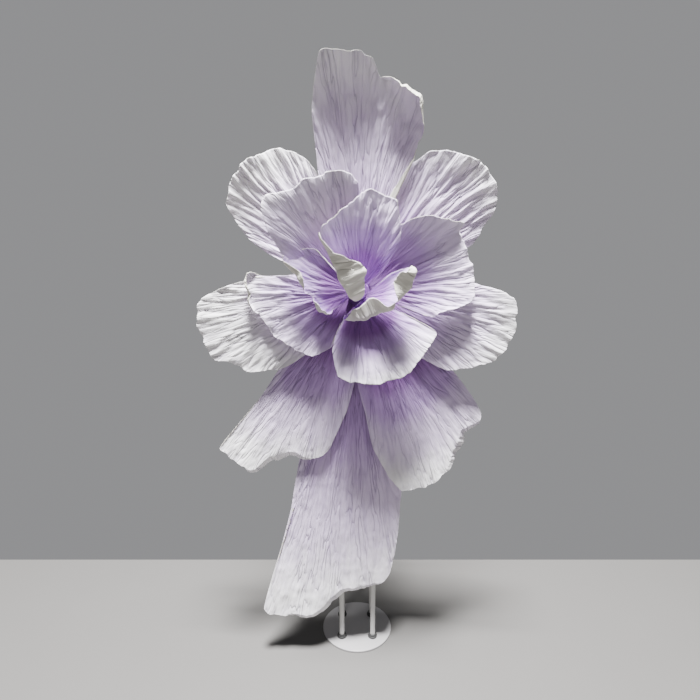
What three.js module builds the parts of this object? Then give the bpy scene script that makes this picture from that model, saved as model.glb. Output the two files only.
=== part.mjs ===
// Giant paper flower on a four-post floor stand.
// Millimetres, +Z up. The origin is at the middle of the base plate's underside, and the flower faces -Y.
import * as THREE from 'three';

const DEG = Math.PI / 180;
const GAP = 0.3; // clearance left between pieces that touch

// Stand
const PLATE_DIAMETER = 260;
const PLATE_THICKNESS = 8;
const PLATE_CHAMFER = 1.5;
const POST_DIAMETER = 19;
const POST_WALL = 1.5;
const POST_SPACING = 114; // centre to centre, both ways
const POST_TOP = 1385;
const POST_EDGE = 0.4; // chamfer of the tube's cut ends
const COLLAR_DIAMETER = 34;
const COLLAR_HEIGHT = 13;
const COLLAR_CHAMFER = 2;
const HEAD_PLATE_SIZE = 146;
const HEAD_PLATE_THICKNESS = 5;

// Board and clamps that carry the flower on the two front posts
const BOARD_WIDTH = 150;
const BOARD_HEIGHT = 170;
const BOARD_THICKNESS = 5;
const BOARD_CORNER = 12;
const CLAMP_WALL = 4;
const CLAMP_HEIGHT = 26;
const CLAMP_CORNER = 5;
const CLAMP_RISE = 58; // clamp centres above and below the hub's axis
const BOLT_DIAMETER = 8;
const BOLT_HEAD = 18;
const BOLT_HEAD_HEIGHT = 5;
const BOLT_DEPTH = 45;

// Hub that the petals are gathered on: three drums, each smaller and further forward
const HUB_HEIGHT = 1300;
const HUB_STEPS = [
  { radius: 44, front: 48 },
  { radius: 32, front: 78 },
  { radius: 20, front: 116 },
];

// Petals and their ribs
const PAPER = 1.4;
const ROOT_WIDTH = 26; // width of a petal where it is gathered on the hub
const RIB_DIAMETER = 4;
const RIB_LENGTH = 0.72; // of the petal's own length
const RIB_SIDES = 6;
const ROOT_CLEARANCE = 1; // between a petal's root and its drum
const COLUMNS = 12; // strips across a sheet, pleated: every other fold stands forward
const PLEAT_DEPTH = 4; // at the rim
const ROW_LENGTH = 85; // along a sheet
const CURL_RADIUS = 5; // bend of a rim that is turned over
const NO_CURVE = 1e-3; // stands for zero where a curve is divided by
const HEM = 2; // paper past the fold all along a rim that has a turned stretch

const postY = POST_SPACING / 2;
const clampDepth = POST_DIAMETER / 2 + GAP + CLAMP_WALL;
const boardBack = -postY - clampDepth - GAP;
const boardFront = boardBack - BOARD_THICKNESS;
const hubBack = boardFront - GAP;

const finishes = {
  paper: { color: 0xe4dfee, roughness: 0.9, metalness: 0 },
  wire: { color: 0xb8b8b4, roughness: 0.45, metalness: 0.8 },
  paint: { color: 0xe6e4df, roughness: 0.45, metalness: 0 },
  plate: { color: 0xb9b7b9, roughness: 0.5, metalness: 0 },
  rubber: { color: 0x1f1f20, roughness: 0.7, metalness: 0 },
  timber: { color: 0xc7a877, roughness: 0.8, metalness: 0 },
  steel: { color: 0x9b9c9e, roughness: 0.35, metalness: 0.9 },
};

const flower = new THREE.Group();

function addPiece(name, geometry, finish) {
  const piece = new THREE.Mesh(geometry, new THREE.MeshStandardMaterial(finishes[finish]));
  piece.name = name;
  flower.add(piece);
  return piece;
}

// A turned solid: profile of [radius, height] pairs, closed on itself or on the axis.
function turned(profile, segments) {
  return new THREE.LatheGeometry(profile.map(([r, h]) => new THREE.Vector2(r, h)), segments);
}

function ringProfile(inner, outer, bottom, top, chamfer) {
  return [
    [inner, bottom],
    [outer - chamfer, bottom],
    [outer, bottom + chamfer],
    [outer, top - chamfer],
    [outer - chamfer, top],
    [inner, top],
    [inner, bottom],
  ];
}

// ---- Stand ----

function makeBasePlate() {
  const edge = PLATE_DIAMETER / 2;
  const profile = [
    [0, 0],
    [edge - PLATE_CHAMFER, 0],
    [edge, PLATE_CHAMFER],
    [edge, PLATE_THICKNESS - PLATE_CHAMFER],
    [edge - PLATE_CHAMFER, PLATE_THICKNESS],
    [0, PLATE_THICKNESS],
  ];
  addPiece('base_plate', turned(profile, 40).rotateX(Math.PI / 2), 'plate');
}

function makePosts() {
  const tubeBottom = PLATE_THICKNESS + GAP;
  const collarTop = tubeBottom + COLLAR_HEIGHT;
  const outer = POST_DIAMETER / 2;
  const tube = ringProfile(outer - POST_WALL, outer, tubeBottom, POST_TOP, POST_EDGE);
  const collar = ringProfile(outer + GAP, COLLAR_DIAMETER / 2, tubeBottom, collarTop, COLLAR_CHAMFER);
  const corners = { front_left: [-1, -1], front_right: [1, -1], rear_left: [-1, 1], rear_right: [1, 1] };
  for (const [corner, [side, depth]] of Object.entries(corners)) {
    const place = [side * postY, depth * postY, 0];
    addPiece(`post_${corner}`, turned(tube, 16).rotateX(Math.PI / 2), 'paint').position.set(...place);
    const foot = addPiece(`foot_collar_${corner}`, turned(collar, 16).rotateX(Math.PI / 2), 'rubber');
    foot.position.set(...place);
  }
}

function makeHeadPlate() {
  const plate = new THREE.BoxGeometry(HEAD_PLATE_SIZE, HEAD_PLATE_SIZE, HEAD_PLATE_THICKNESS);
  addPiece('head_plate', plate, 'paint').position.z = POST_TOP + GAP + HEAD_PLATE_THICKNESS / 2;
}

// ---- What carries the flower ----

function roundedRectangle(width, height, corner) {
  const shape = new THREE.Shape();
  const x = width / 2 - corner;
  const y = height / 2 - corner;
  shape.absarc(x, -y, corner, -90 * DEG, 0);
  shape.absarc(x, y, corner, 0, 90 * DEG);
  shape.absarc(-x, y, corner, 90 * DEG, 180 * DEG);
  shape.absarc(-x, -y, corner, 180 * DEG, 270 * DEG);
  return shape;
}

function roundHole(radius) {
  return new THREE.Path().absarc(0, 0, radius, 0, 2 * Math.PI, true);
}

function makeMountingBoard() {
  const shape = roundedRectangle(BOARD_WIDTH, BOARD_HEIGHT, BOARD_CORNER);
  shape.holes.push(roundHole(BOLT_DIAMETER / 2 + GAP));
  const board = new THREE.ExtrudeGeometry(shape, {
    depth: BOARD_THICKNESS, bevelEnabled: false, curveSegments: 8,
  });
  addPiece('mounting_board', board.rotateX(Math.PI / 2), 'paint').position.set(0, boardBack, HUB_HEIGHT);
}

function makeClamps() {
  const width = 2 * clampDepth;
  const shape = roundedRectangle(width, width, CLAMP_CORNER);
  shape.holes.push(roundHole(POST_DIAMETER / 2 + GAP));
  for (const [level, rise] of [['upper', CLAMP_RISE], ['lower', -CLAMP_RISE]]) {
    for (const [side, x] of [['left', -postY], ['right', postY]]) {
      const clamp = new THREE.ExtrudeGeometry(shape, {
        depth: CLAMP_HEIGHT, bevelEnabled: false, curveSegments: 10,
      });
      const place = [x, -postY, HUB_HEIGHT + rise - CLAMP_HEIGHT / 2];
      addPiece(`clamp_${level}_${side}`, clamp, 'paint').position.set(...place);
    }
  }
}

// The hub and its bolt are turned about the Y axis; a profile's height runs forward from the board.
function turnedForward(profile, segments) {
  return turned(profile, segments).rotateX(Math.PI);
}

function makeHub() {
  const bore = BOLT_DIAMETER / 2 + GAP;
  const profile = [[0, BOLT_DEPTH + GAP], [bore, BOLT_DEPTH + GAP], [bore, 0]];
  let back = 0;
  for (const { radius, front } of HUB_STEPS) {
    profile.push([radius - GAP, back], [radius - GAP, front]);
    back = front;
  }
  profile.push([0, back]);
  addPiece('hub', turnedForward(profile, 32), 'timber').position.set(0, hubBack, HUB_HEIGHT);
}

function makeHubBolt() {
  const shank = BOLT_DIAMETER / 2;
  const underHead = boardBack + GAP - hubBack;
  const profile = [
    [0, -underHead - BOLT_HEAD_HEIGHT],
    [BOLT_HEAD / 3, -underHead - BOLT_HEAD_HEIGHT],
    [BOLT_HEAD / 2, -underHead - BOLT_HEAD_HEIGHT / 3],
    [BOLT_HEAD / 2, -underHead],
    [shank, -underHead],
    [shank, BOLT_DEPTH],
    [0, BOLT_DEPTH],
  ];
  addPiece('hub_bolt', turnedForward(profile, 16), 'steel').position.set(0, hubBack, HUB_HEIGHT);
}

// ---- Petals ----
// Each petal is one cut sheet, gathered at its root and fanned out to its rim.
//   heading  direction of its rib seen from the front: 0 is to the right, 90 is up
//   drum     the hub step that it is glued to, from the rear, and how far forward of the hub's back
//   lean     the rib's slope towards the front in degrees, at even steps from the root to the tip
//   cup      how sharply the sheet bends across the rib, in 1/m: above 0 its sides come forward
//   rim      the cut edge as [along the rib, to the rib's left], from one root corner round to the other
//   turned   stretches of rim that are rolled over: middle and half-length as a share of the rim,
//            width of paper turned over, and the angle that it is turned through, forward above 0
const PETALS = {
  back_bottom: {
    heading: 262, length: 1128, drum: 0, forward: 7, lean: [0, 1, 9], cup: -0.2,
    rim: [[91, 45], [306, 133], [464, 196], [623, 245], [793, 257], [920, 252], [967, 226], [987, 158],
      [1008, 90], [1054, 49], [1106, 7], [1114, -50], [1129, -112], [1111, -170], [1013, -160],
      [877, -139], [740, -123], [564, -117], [306, -85], [91, -40]],
    turned: [{ at: 0.46, reach: 0.08, width: 32, angle: -45 }],
  },
  back_upper_left: {
    heading: 138, length: 472, drum: 0, forward: 16, lean: [2, 2, 3, 10, 22], cup: -0.3,
    rim: [[70, 40], [165, 86], [241, 107], [321, 112], [382, 92], [433, 70], [463, 11], [463, -65],
      [448, -105], [407, -161], [342, -183], [271, -171], [160, -105], [70, -45]],
    turned: [],
  },
  back_upper_right: {
    heading: 48, length: 483, drum: 0, forward: 16, lean: [2, 2, 3, 10, 22], cup: -0.3,
    rim: [[80, 45], [241, 125], [337, 142], [403, 122], [443, 80], [469, 19], [476, -42], [465, -97],
      [433, -128], [388, -151], [342, -155], [292, -165], [170, -107], [80, -46]],
    turned: [],
  },
  back_left: {
    heading: 186, length: 460, drum: 0, forward: 34, lean: [8, 6, 3], cup: -0.1,
    rim: [[50, 70], [135, 180], [235, 222], [325, 215], [385, 178], [432, 165], [450, 110], [460, 60],
      [455, 0], [440, -30], [375, -55], [300, -70], [180, -70], [60, -42]],
    turned: [],
  },
  back_lower_right: {
    heading: 298, length: 627, drum: 0, forward: 16, lean: [2, 2, 8], cup: -0.2,
    rim: [[81, 40], [203, 111], [334, 151], [459, 169], [505, 167], [528, 145], [521, 91], [572, 35],
      [622, -16], [639, -63], [632, -134], [617, -184], [551, -202], [443, -202], [329, -170],
      [224, -143], [81, -55]],
    turned: [{ at: 0.41, reach: 0.08, width: 30, angle: -45 }],
  },
  back_top: {
    heading: 92, length: 636, drum: 0, forward: 29, lean: [2, 1, 2, 16, 32], cup: 0.4,
    rim: [[70, 40], [180, 80], [301, 107], [469, 117], [554, 106], [602, 96], [631, 83], [634, 30],
      [628, -15], [602, -58], [558, -79], [545, -125], [506, -189], [425, -195], [343, -174],
      [240, -107], [80, -45]],
    turned: [{ at: 0.66, reach: 0.09, width: 30, angle: 110 }],
  },
  back_right: {
    heading: 352, length: 455, drum: 0, forward: 29, lean: [8, 8, 4], cup: 0.3,
    rim: [[80, 45], [200, 80], [300, 76], [385, 65], [425, 45], [450, 10], [452, -45], [440, -100],
      [412, -150], [375, -172], [345, -190], [260, -207], [180, -175], [70, -70]],
    turned: [],
  },
  back_lower_left: {
    heading: 236, length: 653, drum: 0, forward: 22, lean: [2, 1, 8], cup: -0.2,
    rim: [[70, 56], [208, 153], [306, 190], [430, 214], [466, 215], [512, 176], [524, 115], [573, 65],
      [643, 43], [653, -24], [641, -88], [552, -82], [414, -69], [300, -70], [182, -55], [70, -38]],
    turned: [{ at: 0.43, reach: 0.09, width: 32, angle: -45 }],
  },
  mid_left: {
    heading: 194, length: 300, drum: 1, forward: 56, lean: [12, 6, 0], cup: 0.3,
    rim: [[29, 61], [92, 143], [157, 157], [203, 123], [249, 70], [272, 4], [299, -58], [293, -107],
      [282, -130], [223, -111], [137, -94], [39, -45]],
    turned: [{ at: 0.6, reach: 0.1, width: 20, angle: 140 }],
  },
  mid_upper_left: {
    heading: 132, length: 370, drum: 1, forward: 56, lean: [18, 20, 20, 18, 14], cup: 0.3,
    rim: [[50, 35], [130, 70], [220, 90], [295, 75], [345, 48], [368, 10], [345, -35], [325, -62],
      [330, -90], [308, -125], [300, -158], [268, -195], [215, -205], [130, -130], [45, -50]],
    turned: [],
  },
  mid_bottom: {
    heading: 286, length: 260, drum: 1, forward: 70, lean: [26, 20, 10], cup: 0.4,
    rim: [[57, 95], [159, 191], [214, 126], [250, 81], [257, 20], [257, -41], [235, -101], [204, -128],
      [125, -126], [77, -100], [23, -50]],
    turned: [],
  },
  mid_right: {
    heading: 18, length: 322, drum: 1, forward: 72, lean: [10, 4, 0], cup: 2,
    rim: [[39, 70], [145, 160], [237, 155], [290, 120], [322, 99], [304, 79], [315, 27], [321, -24],
      [314, -70], [285, -126], [212, -133], [156, -141], [88, -91], [24, -40]],
    turned: [],
  },
  inner_left: {
    heading: 168, length: 225, drum: 2, forward: 85, lean: [20, 10, 4], cup: 1,
    rim: [[12, 31], [45, 63], [67, 79], [90, 65], [104, 43], [137, 28], [157, -5], [182, -26],
      [218, -48], [218, -73], [181, -88], [131, -94], [81, -58], [20, -21]],
    turned: [
      { at: 0.18, reach: 0.08, width: 26, angle: 130 },
      { at: 0.43, reach: 0.14, width: 26, angle: 150 },
    ],
  },
  inner_top: {
    heading: 88, length: 285, drum: 2, forward: 94, lean: [26, 18, 6], cup: 2,
    rim: [[30, 40], [110, 95], [160, 120], [190, 112], [225, 65], [252, 30], [278, 5], [288, -25],
      [275, -58], [258, -90], [220, -102], [140, -110], [75, -80], [20, -35]],
    turned: [],
  },
  inner_right: {
    heading: 322, length: 130, drum: 2, forward: 102, lean: [40, 45, 50], cup: 3,
    rim: [[8, 45], [30, 100], [78, 148], [122, 152], [118, 80], [112, 30], [88, 0], [58, -35],
      [28, -72], [0, -84], [0, -35]],
    turned: [
      { at: 0.41, reach: 0.13, width: 54, angle: 130 },
      { at: 0.72, reach: 0.2, width: 56, angle: 140 },
    ],
  },
  inner_curl: {
    heading: 203, length: 120, drum: 2, forward: 109, lean: [84, 84, 80], cup: 0,
    rim: [[35, 5], [80, -8], [95, -40], [102, -85], [105, -140], [110, -195], [60, -115], [20, -45]],
    turned: [
      { at: 0.22, reach: 0.22, width: 50, angle: 55 },
      { at: 0.3, reach: 0.36, width: 25, angle: 50 },
    ],
  },
};

// Slope of the rib at a share of its length, changing evenly between its stated slopes.
function slopeAt(lean, share) {
  const place = THREE.MathUtils.clamp(share, 0, 1) * (lean.length - 1);
  const before = Math.min(Math.floor(place), lean.length - 2);
  return THREE.MathUtils.lerp(lean[before], lean[before + 1], place - before) * DEG;
}

// Bends a flat point [along, across] of the sheet into place; lift stands off its front face.
function bend(petal, along, across, lift) {
  const heading = petal.heading * DEG;
  const outward = new THREE.Vector3(Math.cos(heading), 0, Math.sin(heading));
  const sideways = new THREE.Vector3(-Math.sin(heading), 0, Math.cos(heading));
  const forward = new THREE.Vector3(0, -1, 0);
  const steps = 24;
  let reach = 0;
  let rise = 0;
  for (let i = 0; i < steps; i += 1) {
    const slope = slopeAt(petal.lean, (along / petal.length) * ((i + 0.5) / steps));
    reach += (Math.cos(slope) * along) / steps;
    rise += (Math.sin(slope) * along) / steps;
  }
  const slope = slopeAt(petal.lean, along / petal.length);
  const normal = outward.clone().multiplyScalar(-Math.sin(slope)).addScaledVector(forward, Math.cos(slope));
  const curvature = (petal.cup || NO_CURVE) / 1000;
  const turn = curvature * across;
  const aside = Math.sin(turn) / curvature - lift * Math.sin(turn);
  const above = (1 - Math.cos(turn)) / curvature + lift * Math.cos(turn);
  return new THREE.Vector3(0, hubBack, HUB_HEIGHT)
    .addScaledVector(outward, HUB_STEPS[petal.drum].radius + ROOT_CLEARANCE + reach)
    .addScaledVector(forward, petal.forward + rise)
    .addScaledVector(sideways, aside)
    .addScaledVector(normal, above);
}

// How far a rolled rim reaches past its fold, and how far it stands off the sheet.
function roll(distance, angle) {
  const arc = CURL_RADIUS * Math.abs(angle);
  const turn = Math.min(distance, arc) / CURL_RADIUS;
  const straight = Math.max(distance - arc, 0);
  const reach = CURL_RADIUS * Math.sin(turn) + straight * Math.cos(turn);
  const lift = CURL_RADIUS * (1 - Math.cos(turn)) + straight * Math.sin(turn);
  return [reach, lift * Math.sign(angle)];
}

// Width and angle of the paper turned over at a share of the way round the rim.
function turnedAt(petal, share) {
  let width = 0;
  let angle = 0;
  for (const stretch of petal.turned) {
    const away = Math.min(Math.abs(share - stretch.at) / stretch.reach, 1);
    width += stretch.width * Math.cos(away * 90 * DEG);
    angle += stretch.angle * (1 - away ** 4) * DEG;
  }
  return [width, angle];
}

// Direction out of the sheet, square to its cut edge.
function rimNormal(edge, i) {
  const along = edge[Math.min(i + 1, edge.length - 1)].clone().sub(edge[Math.max(i - 1, 0)]);
  return new THREE.Vector2(-along.y, along.x).normalize();
}

// How far forward fold i of the sheet stands at the rim.
function pleat(i) {
  return (i % 2) * PLEAT_DEPTH;
}

// The sheet as rows of points from the root out to the rim, and on round the rolled edge.
function sheetRows(petal, rows) {
  const rim = new THREE.SplineCurve(petal.rim.map(([along, across]) => new THREE.Vector2(along, across)));
  const edge = rim.getSpacedPoints(COLUMNS);
  const foot = edge.map((point, i) => new THREE.Vector2(0, ROOT_WIDTH * (0.5 - i / COLUMNS)));
  const grid = [];
  for (let row = 0; row <= rows; row += 1) {
    grid.push(edge.map((point, i) => {
      const flat = foot[i].clone().lerp(point, row / rows);
      return bend(petal, flat.x, flat.y, pleat(i) * (row / rows));
    }));
  }
  if (petal.turned.length > 0) {
    for (const share of [0.5, 1]) {
      grid.push(edge.map((point, i) => {
        const [width, angle] = turnedAt(petal, i / COLUMNS);
        const [reach, lift] = roll(share * (width + HEM), angle || NO_CURVE);
        const flat = point.clone().addScaledVector(rimNormal(edge, i), reach);
        return bend(petal, flat.x, flat.y, lift + pleat(i));
      }));
    }
  }
  return grid;
}

// The front-facing normal at a point of the grid, from its neighbours.
function gridNormal(grid, row, column) {
  const last = grid.length - 1;
  const edge = grid[0].length - 1;
  const along = grid[Math.min(row + 1, last)][column].clone().sub(grid[Math.max(row - 1, 0)][column]);
  const across = grid[row][Math.min(column + 1, edge)].clone().sub(grid[row][Math.max(column - 1, 0)]);
  return across.cross(along).normalize();
}

// Thickens the grid into one closed sheet.
function thickened(grid, thickness) {
  const rows = grid.length;
  const columns = grid[0].length;
  const points = [];
  for (const side of [-0.5, 0.5]) {
    grid.forEach((line, row) => line.forEach((point, column) => {
      points.push(point.clone().addScaledVector(gridNormal(grid, row, column), side * thickness));
    }));
  }
  const at = (side, row, column) => (side * rows + row) * columns + column;
  const faces = [];
  const quad = (a, b, c, d) => faces.push(a, b, c, a, c, d);
  for (let row = 0; row + 1 < rows; row += 1) {
    for (let column = 0; column + 1 < columns; column += 1) {
      quad(at(0, row, column), at(0, row + 1, column), at(0, row + 1, column + 1), at(0, row, column + 1));
      quad(at(1, row, column), at(1, row, column + 1), at(1, row + 1, column + 1), at(1, row + 1, column));
    }
    quad(at(0, row, 0), at(1, row, 0), at(1, row + 1, 0), at(0, row + 1, 0));
    const edge = columns - 1;
    quad(at(0, row, edge), at(0, row + 1, edge), at(1, row + 1, edge), at(1, row, edge));
  }
  for (let column = 0; column + 1 < columns; column += 1) {
    quad(at(0, 0, column), at(0, 0, column + 1), at(1, 0, column + 1), at(1, 0, column));
    const end = rows - 1;
    quad(at(0, end, column), at(1, end, column), at(1, end, column + 1), at(0, end, column + 1));
  }
  const geometry = new THREE.BufferGeometry().setFromPoints(points);
  geometry.setIndex(faces);
  geometry.computeVertexNormals();
  return geometry;
}

// A wire that follows the middle of the sheet, close behind it.
function ribGeometry(grid, rows) {
  const middle = COLUMNS / 2;
  const behind = -(PAPER / 2 + RIB_DIAMETER / 2 + 2 * GAP);
  const count = Math.max(2, Math.round(rows * RIB_LENGTH));
  const path = [];
  for (let row = 0; row <= count; row += 1) {
    path.push(grid[row][middle].clone().addScaledVector(gridNormal(grid, row, middle), behind));
  }
  const section = new THREE.Shape();
  for (let i = 0; i < RIB_SIDES; i += 1) {
    const turn = (i / RIB_SIDES) * 2 * Math.PI;
    const point = [Math.cos(turn) * RIB_DIAMETER / 2, Math.sin(turn) * RIB_DIAMETER / 2];
    if (i === 0) section.moveTo(...point);
    else section.lineTo(...point);
  }
  section.closePath();
  return new THREE.ExtrudeGeometry(section, {
    steps: count, bevelEnabled: false, extrudePath: new THREE.CatmullRomCurve3(path),
  });
}

function makePetals() {
  for (const [name, petal] of Object.entries(PETALS)) {
    const rows = Math.max(5, Math.round(petal.length / ROW_LENGTH));
    const grid = sheetRows(petal, rows);
    addPiece(`petal_${name}`, thickened(grid, PAPER), 'paper');
    addPiece(`rib_${name}`, ribGeometry(grid, rows), 'wire');
  }
}

makeBasePlate();
makePosts();
makeHeadPlate();
makeMountingBoard();
makeClamps();
makeHub();
makeHubBolt();
makePetals();

export default flower;
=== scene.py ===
"""Giant paper flower on a four-post floor stand: sixteen crinkled petals on bound wire ribs, and the stand.

Metres, +Z up. The flower faces -Y. Every size comes from the frame or from the named values below.
"""
import math
from collections import namedtuple

import bpy
import numpy as np
from bpy.props import FloatProperty, FloatVectorProperty, IntProperty, PointerProperty
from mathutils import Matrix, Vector


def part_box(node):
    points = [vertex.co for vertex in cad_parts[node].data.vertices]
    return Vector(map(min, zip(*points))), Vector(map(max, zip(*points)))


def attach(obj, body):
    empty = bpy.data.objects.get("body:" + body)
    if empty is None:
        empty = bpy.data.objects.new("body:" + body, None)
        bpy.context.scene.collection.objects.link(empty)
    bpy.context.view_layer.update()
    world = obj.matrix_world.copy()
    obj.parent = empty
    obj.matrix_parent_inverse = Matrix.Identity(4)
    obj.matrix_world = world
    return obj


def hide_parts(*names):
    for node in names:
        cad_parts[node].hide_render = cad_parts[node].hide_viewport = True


bl_info = {
    "name": "Giant paper flower",
    "version": (1, 0, 0),
    "blender": (4, 5, 0),
    "location": "3D View > Sidebar > Paper flower",
    "description": "Builds a giant paper flower on its floor stand",
    "category": "Object",
}

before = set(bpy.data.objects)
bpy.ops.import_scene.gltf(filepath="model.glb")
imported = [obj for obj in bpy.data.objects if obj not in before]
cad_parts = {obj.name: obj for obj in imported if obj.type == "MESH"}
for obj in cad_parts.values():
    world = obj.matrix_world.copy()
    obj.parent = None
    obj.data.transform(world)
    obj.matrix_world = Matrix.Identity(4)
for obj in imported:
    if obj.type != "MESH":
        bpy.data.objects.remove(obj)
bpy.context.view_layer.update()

BODY = "root"
MM = 0.001

# The hub's axis and back face, from the frame.
HUB_LOW, HUB_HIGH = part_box("hub")
HUB_BACK = Vector(((HUB_LOW.x + HUB_HIGH.x) / 2, HUB_HIGH.y, (HUB_LOW.z + HUB_HIGH.z) / 2))
DRUM_RADII = (44, 32, 20)  # mm, rear to front
DRUM_FRONTS = (48 / 116, 78 / 116, 1)  # of the hub's depth
ROOT_CLEARANCE = 1  # mm, between a petal's root and its drum
ROOT_WIDTH = 26  # mm
CURL_RADIUS = 5  # mm, bend of a rim that is turned over
CURL_OVERLAP = 1.5  # mm of paper past the fold, even where the rim isn't turned over
RIB_LENGTH = 0.72  # of the petal's length
RIB_CLEARANCE = 0.0005  # m, between the rib and the deepest fold of the sheet
RIB_SAMPLING = 0.002  # m, length of one straight stretch of the wire
RIB_WINDOW = 7  # rows of the sheet over which the rib's line is evened out
RIB_STRIDE = 3  # rows of the sheet to one point of the rib's line

# Fastenings and tubes of the stand, in metres.
FIT = 0.0003  # gap between a tube and what goes round it
BOLT_BORE = 0.0043  # radius of the hole for the bolt
BOLT_SHANK = 0.004  # radius
BOLT_EDGE = 0.0006
POST_WALL = 0.0015
POST_EDGE = 0.0004
PLATE_EDGE = 0.0008  # eased edges of the board and the head plate
BOARD_CORNER = 0.012
CLAMP_CORNER = 0.005
CLAMP_EDGE = 0.0012
COLLAR_EDGE = 0.0016
BEVEL_STEP = 0.3  # where a plate's eased edge bends, as a share of its size
SLAB_SEGMENTS = 64  # points round a plate's outline
WELD_POINTS = 40  # points round the ring of a weld
WELD_LAP = 0.7  # distance from bead to bead, as a share of a bead's radius

DUST = (0.50, 0.47, 0.42)  # colour of dust and of scuffed paint
RUBBER_DUST = (0.16, 0.155, 0.15)
# Painted shade darkening the creases of the undyed back.
BACK_CREASE_SHADE = (0.62, 0.60, 0.56)
BACK_BLOTCH = (0.70, 0.68, 0.62)

DYE_REACH = 0.55  # how far before the fading the dye's ramp starts, as a share of the fading

# How finely the sheets are drawn, and how their rims are torn: (depth, wave) pairs in mm.
COLUMN_DENSITY = 2.45
ROW_DENSITY = 0.72
TORN = ((5.0, 55), (3.2, 22), (1.6, 9))
RUFFLE_WAVES = (110, 45)  # mm, the long and the short wave of a rim
LIP_WAVE = 24  # mm
FLAP_WAVE = 25  # mm, unevenness of a turned rim's width
CALM_SHARE = 0.08  # of the rim at each end, next to the root, where it is neither torn nor ruffled
LIP_CURL = 4.0  # mm at the rim
LIP_START = 0.93  # of the way from root to rim

# The viewer, slightly above the flower's heart and looking a little down.
EYE = (-0.027, -1.716, 1.434)
TILT = 11.4  # degrees
LENS = 26.23  # mm, on a sensor 36 mm wide
FLOOR_FRONT, FLOOR_BACK, FLOOR_SIDE, FLOOR_DEPTH = -4.0, 0.43, 4.0, 0.02

# ---------------------------------------------------------------- petals: their cut and their hang

# heading   direction of the rib seen from the front, in degrees: 0 is right, 90 is up
# drum      hub step it is glued to, from the rear; forward: mm in front of the hub's back
# lean      the rib's slope towards the front in degrees, at even steps from root to tip
# cup       how sharply the sheet bends across the rib, 1/m: above 0 its sides come forward
# rim       cut edge as (along the rib, to its left) in mm, from one root corner round to the other
# turned    rim rolled over: (middle and half-length as shares of the rim, width in mm, degrees forward)
# pleat, crumple, ruffle   depth in mm of the gathers, the creases and the wave of the rim
# dye       shares of the petal's length where the violet starts to fade and where it is white
# folds     sharp folds from root to rim: (share of the rim, half-width as a share, mm forward at the rim)
Petal = namedtuple("Petal", "heading length drum forward lean cup rim turned pleat crumple ruffle dye folds",
                   defaults=((),))

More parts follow.
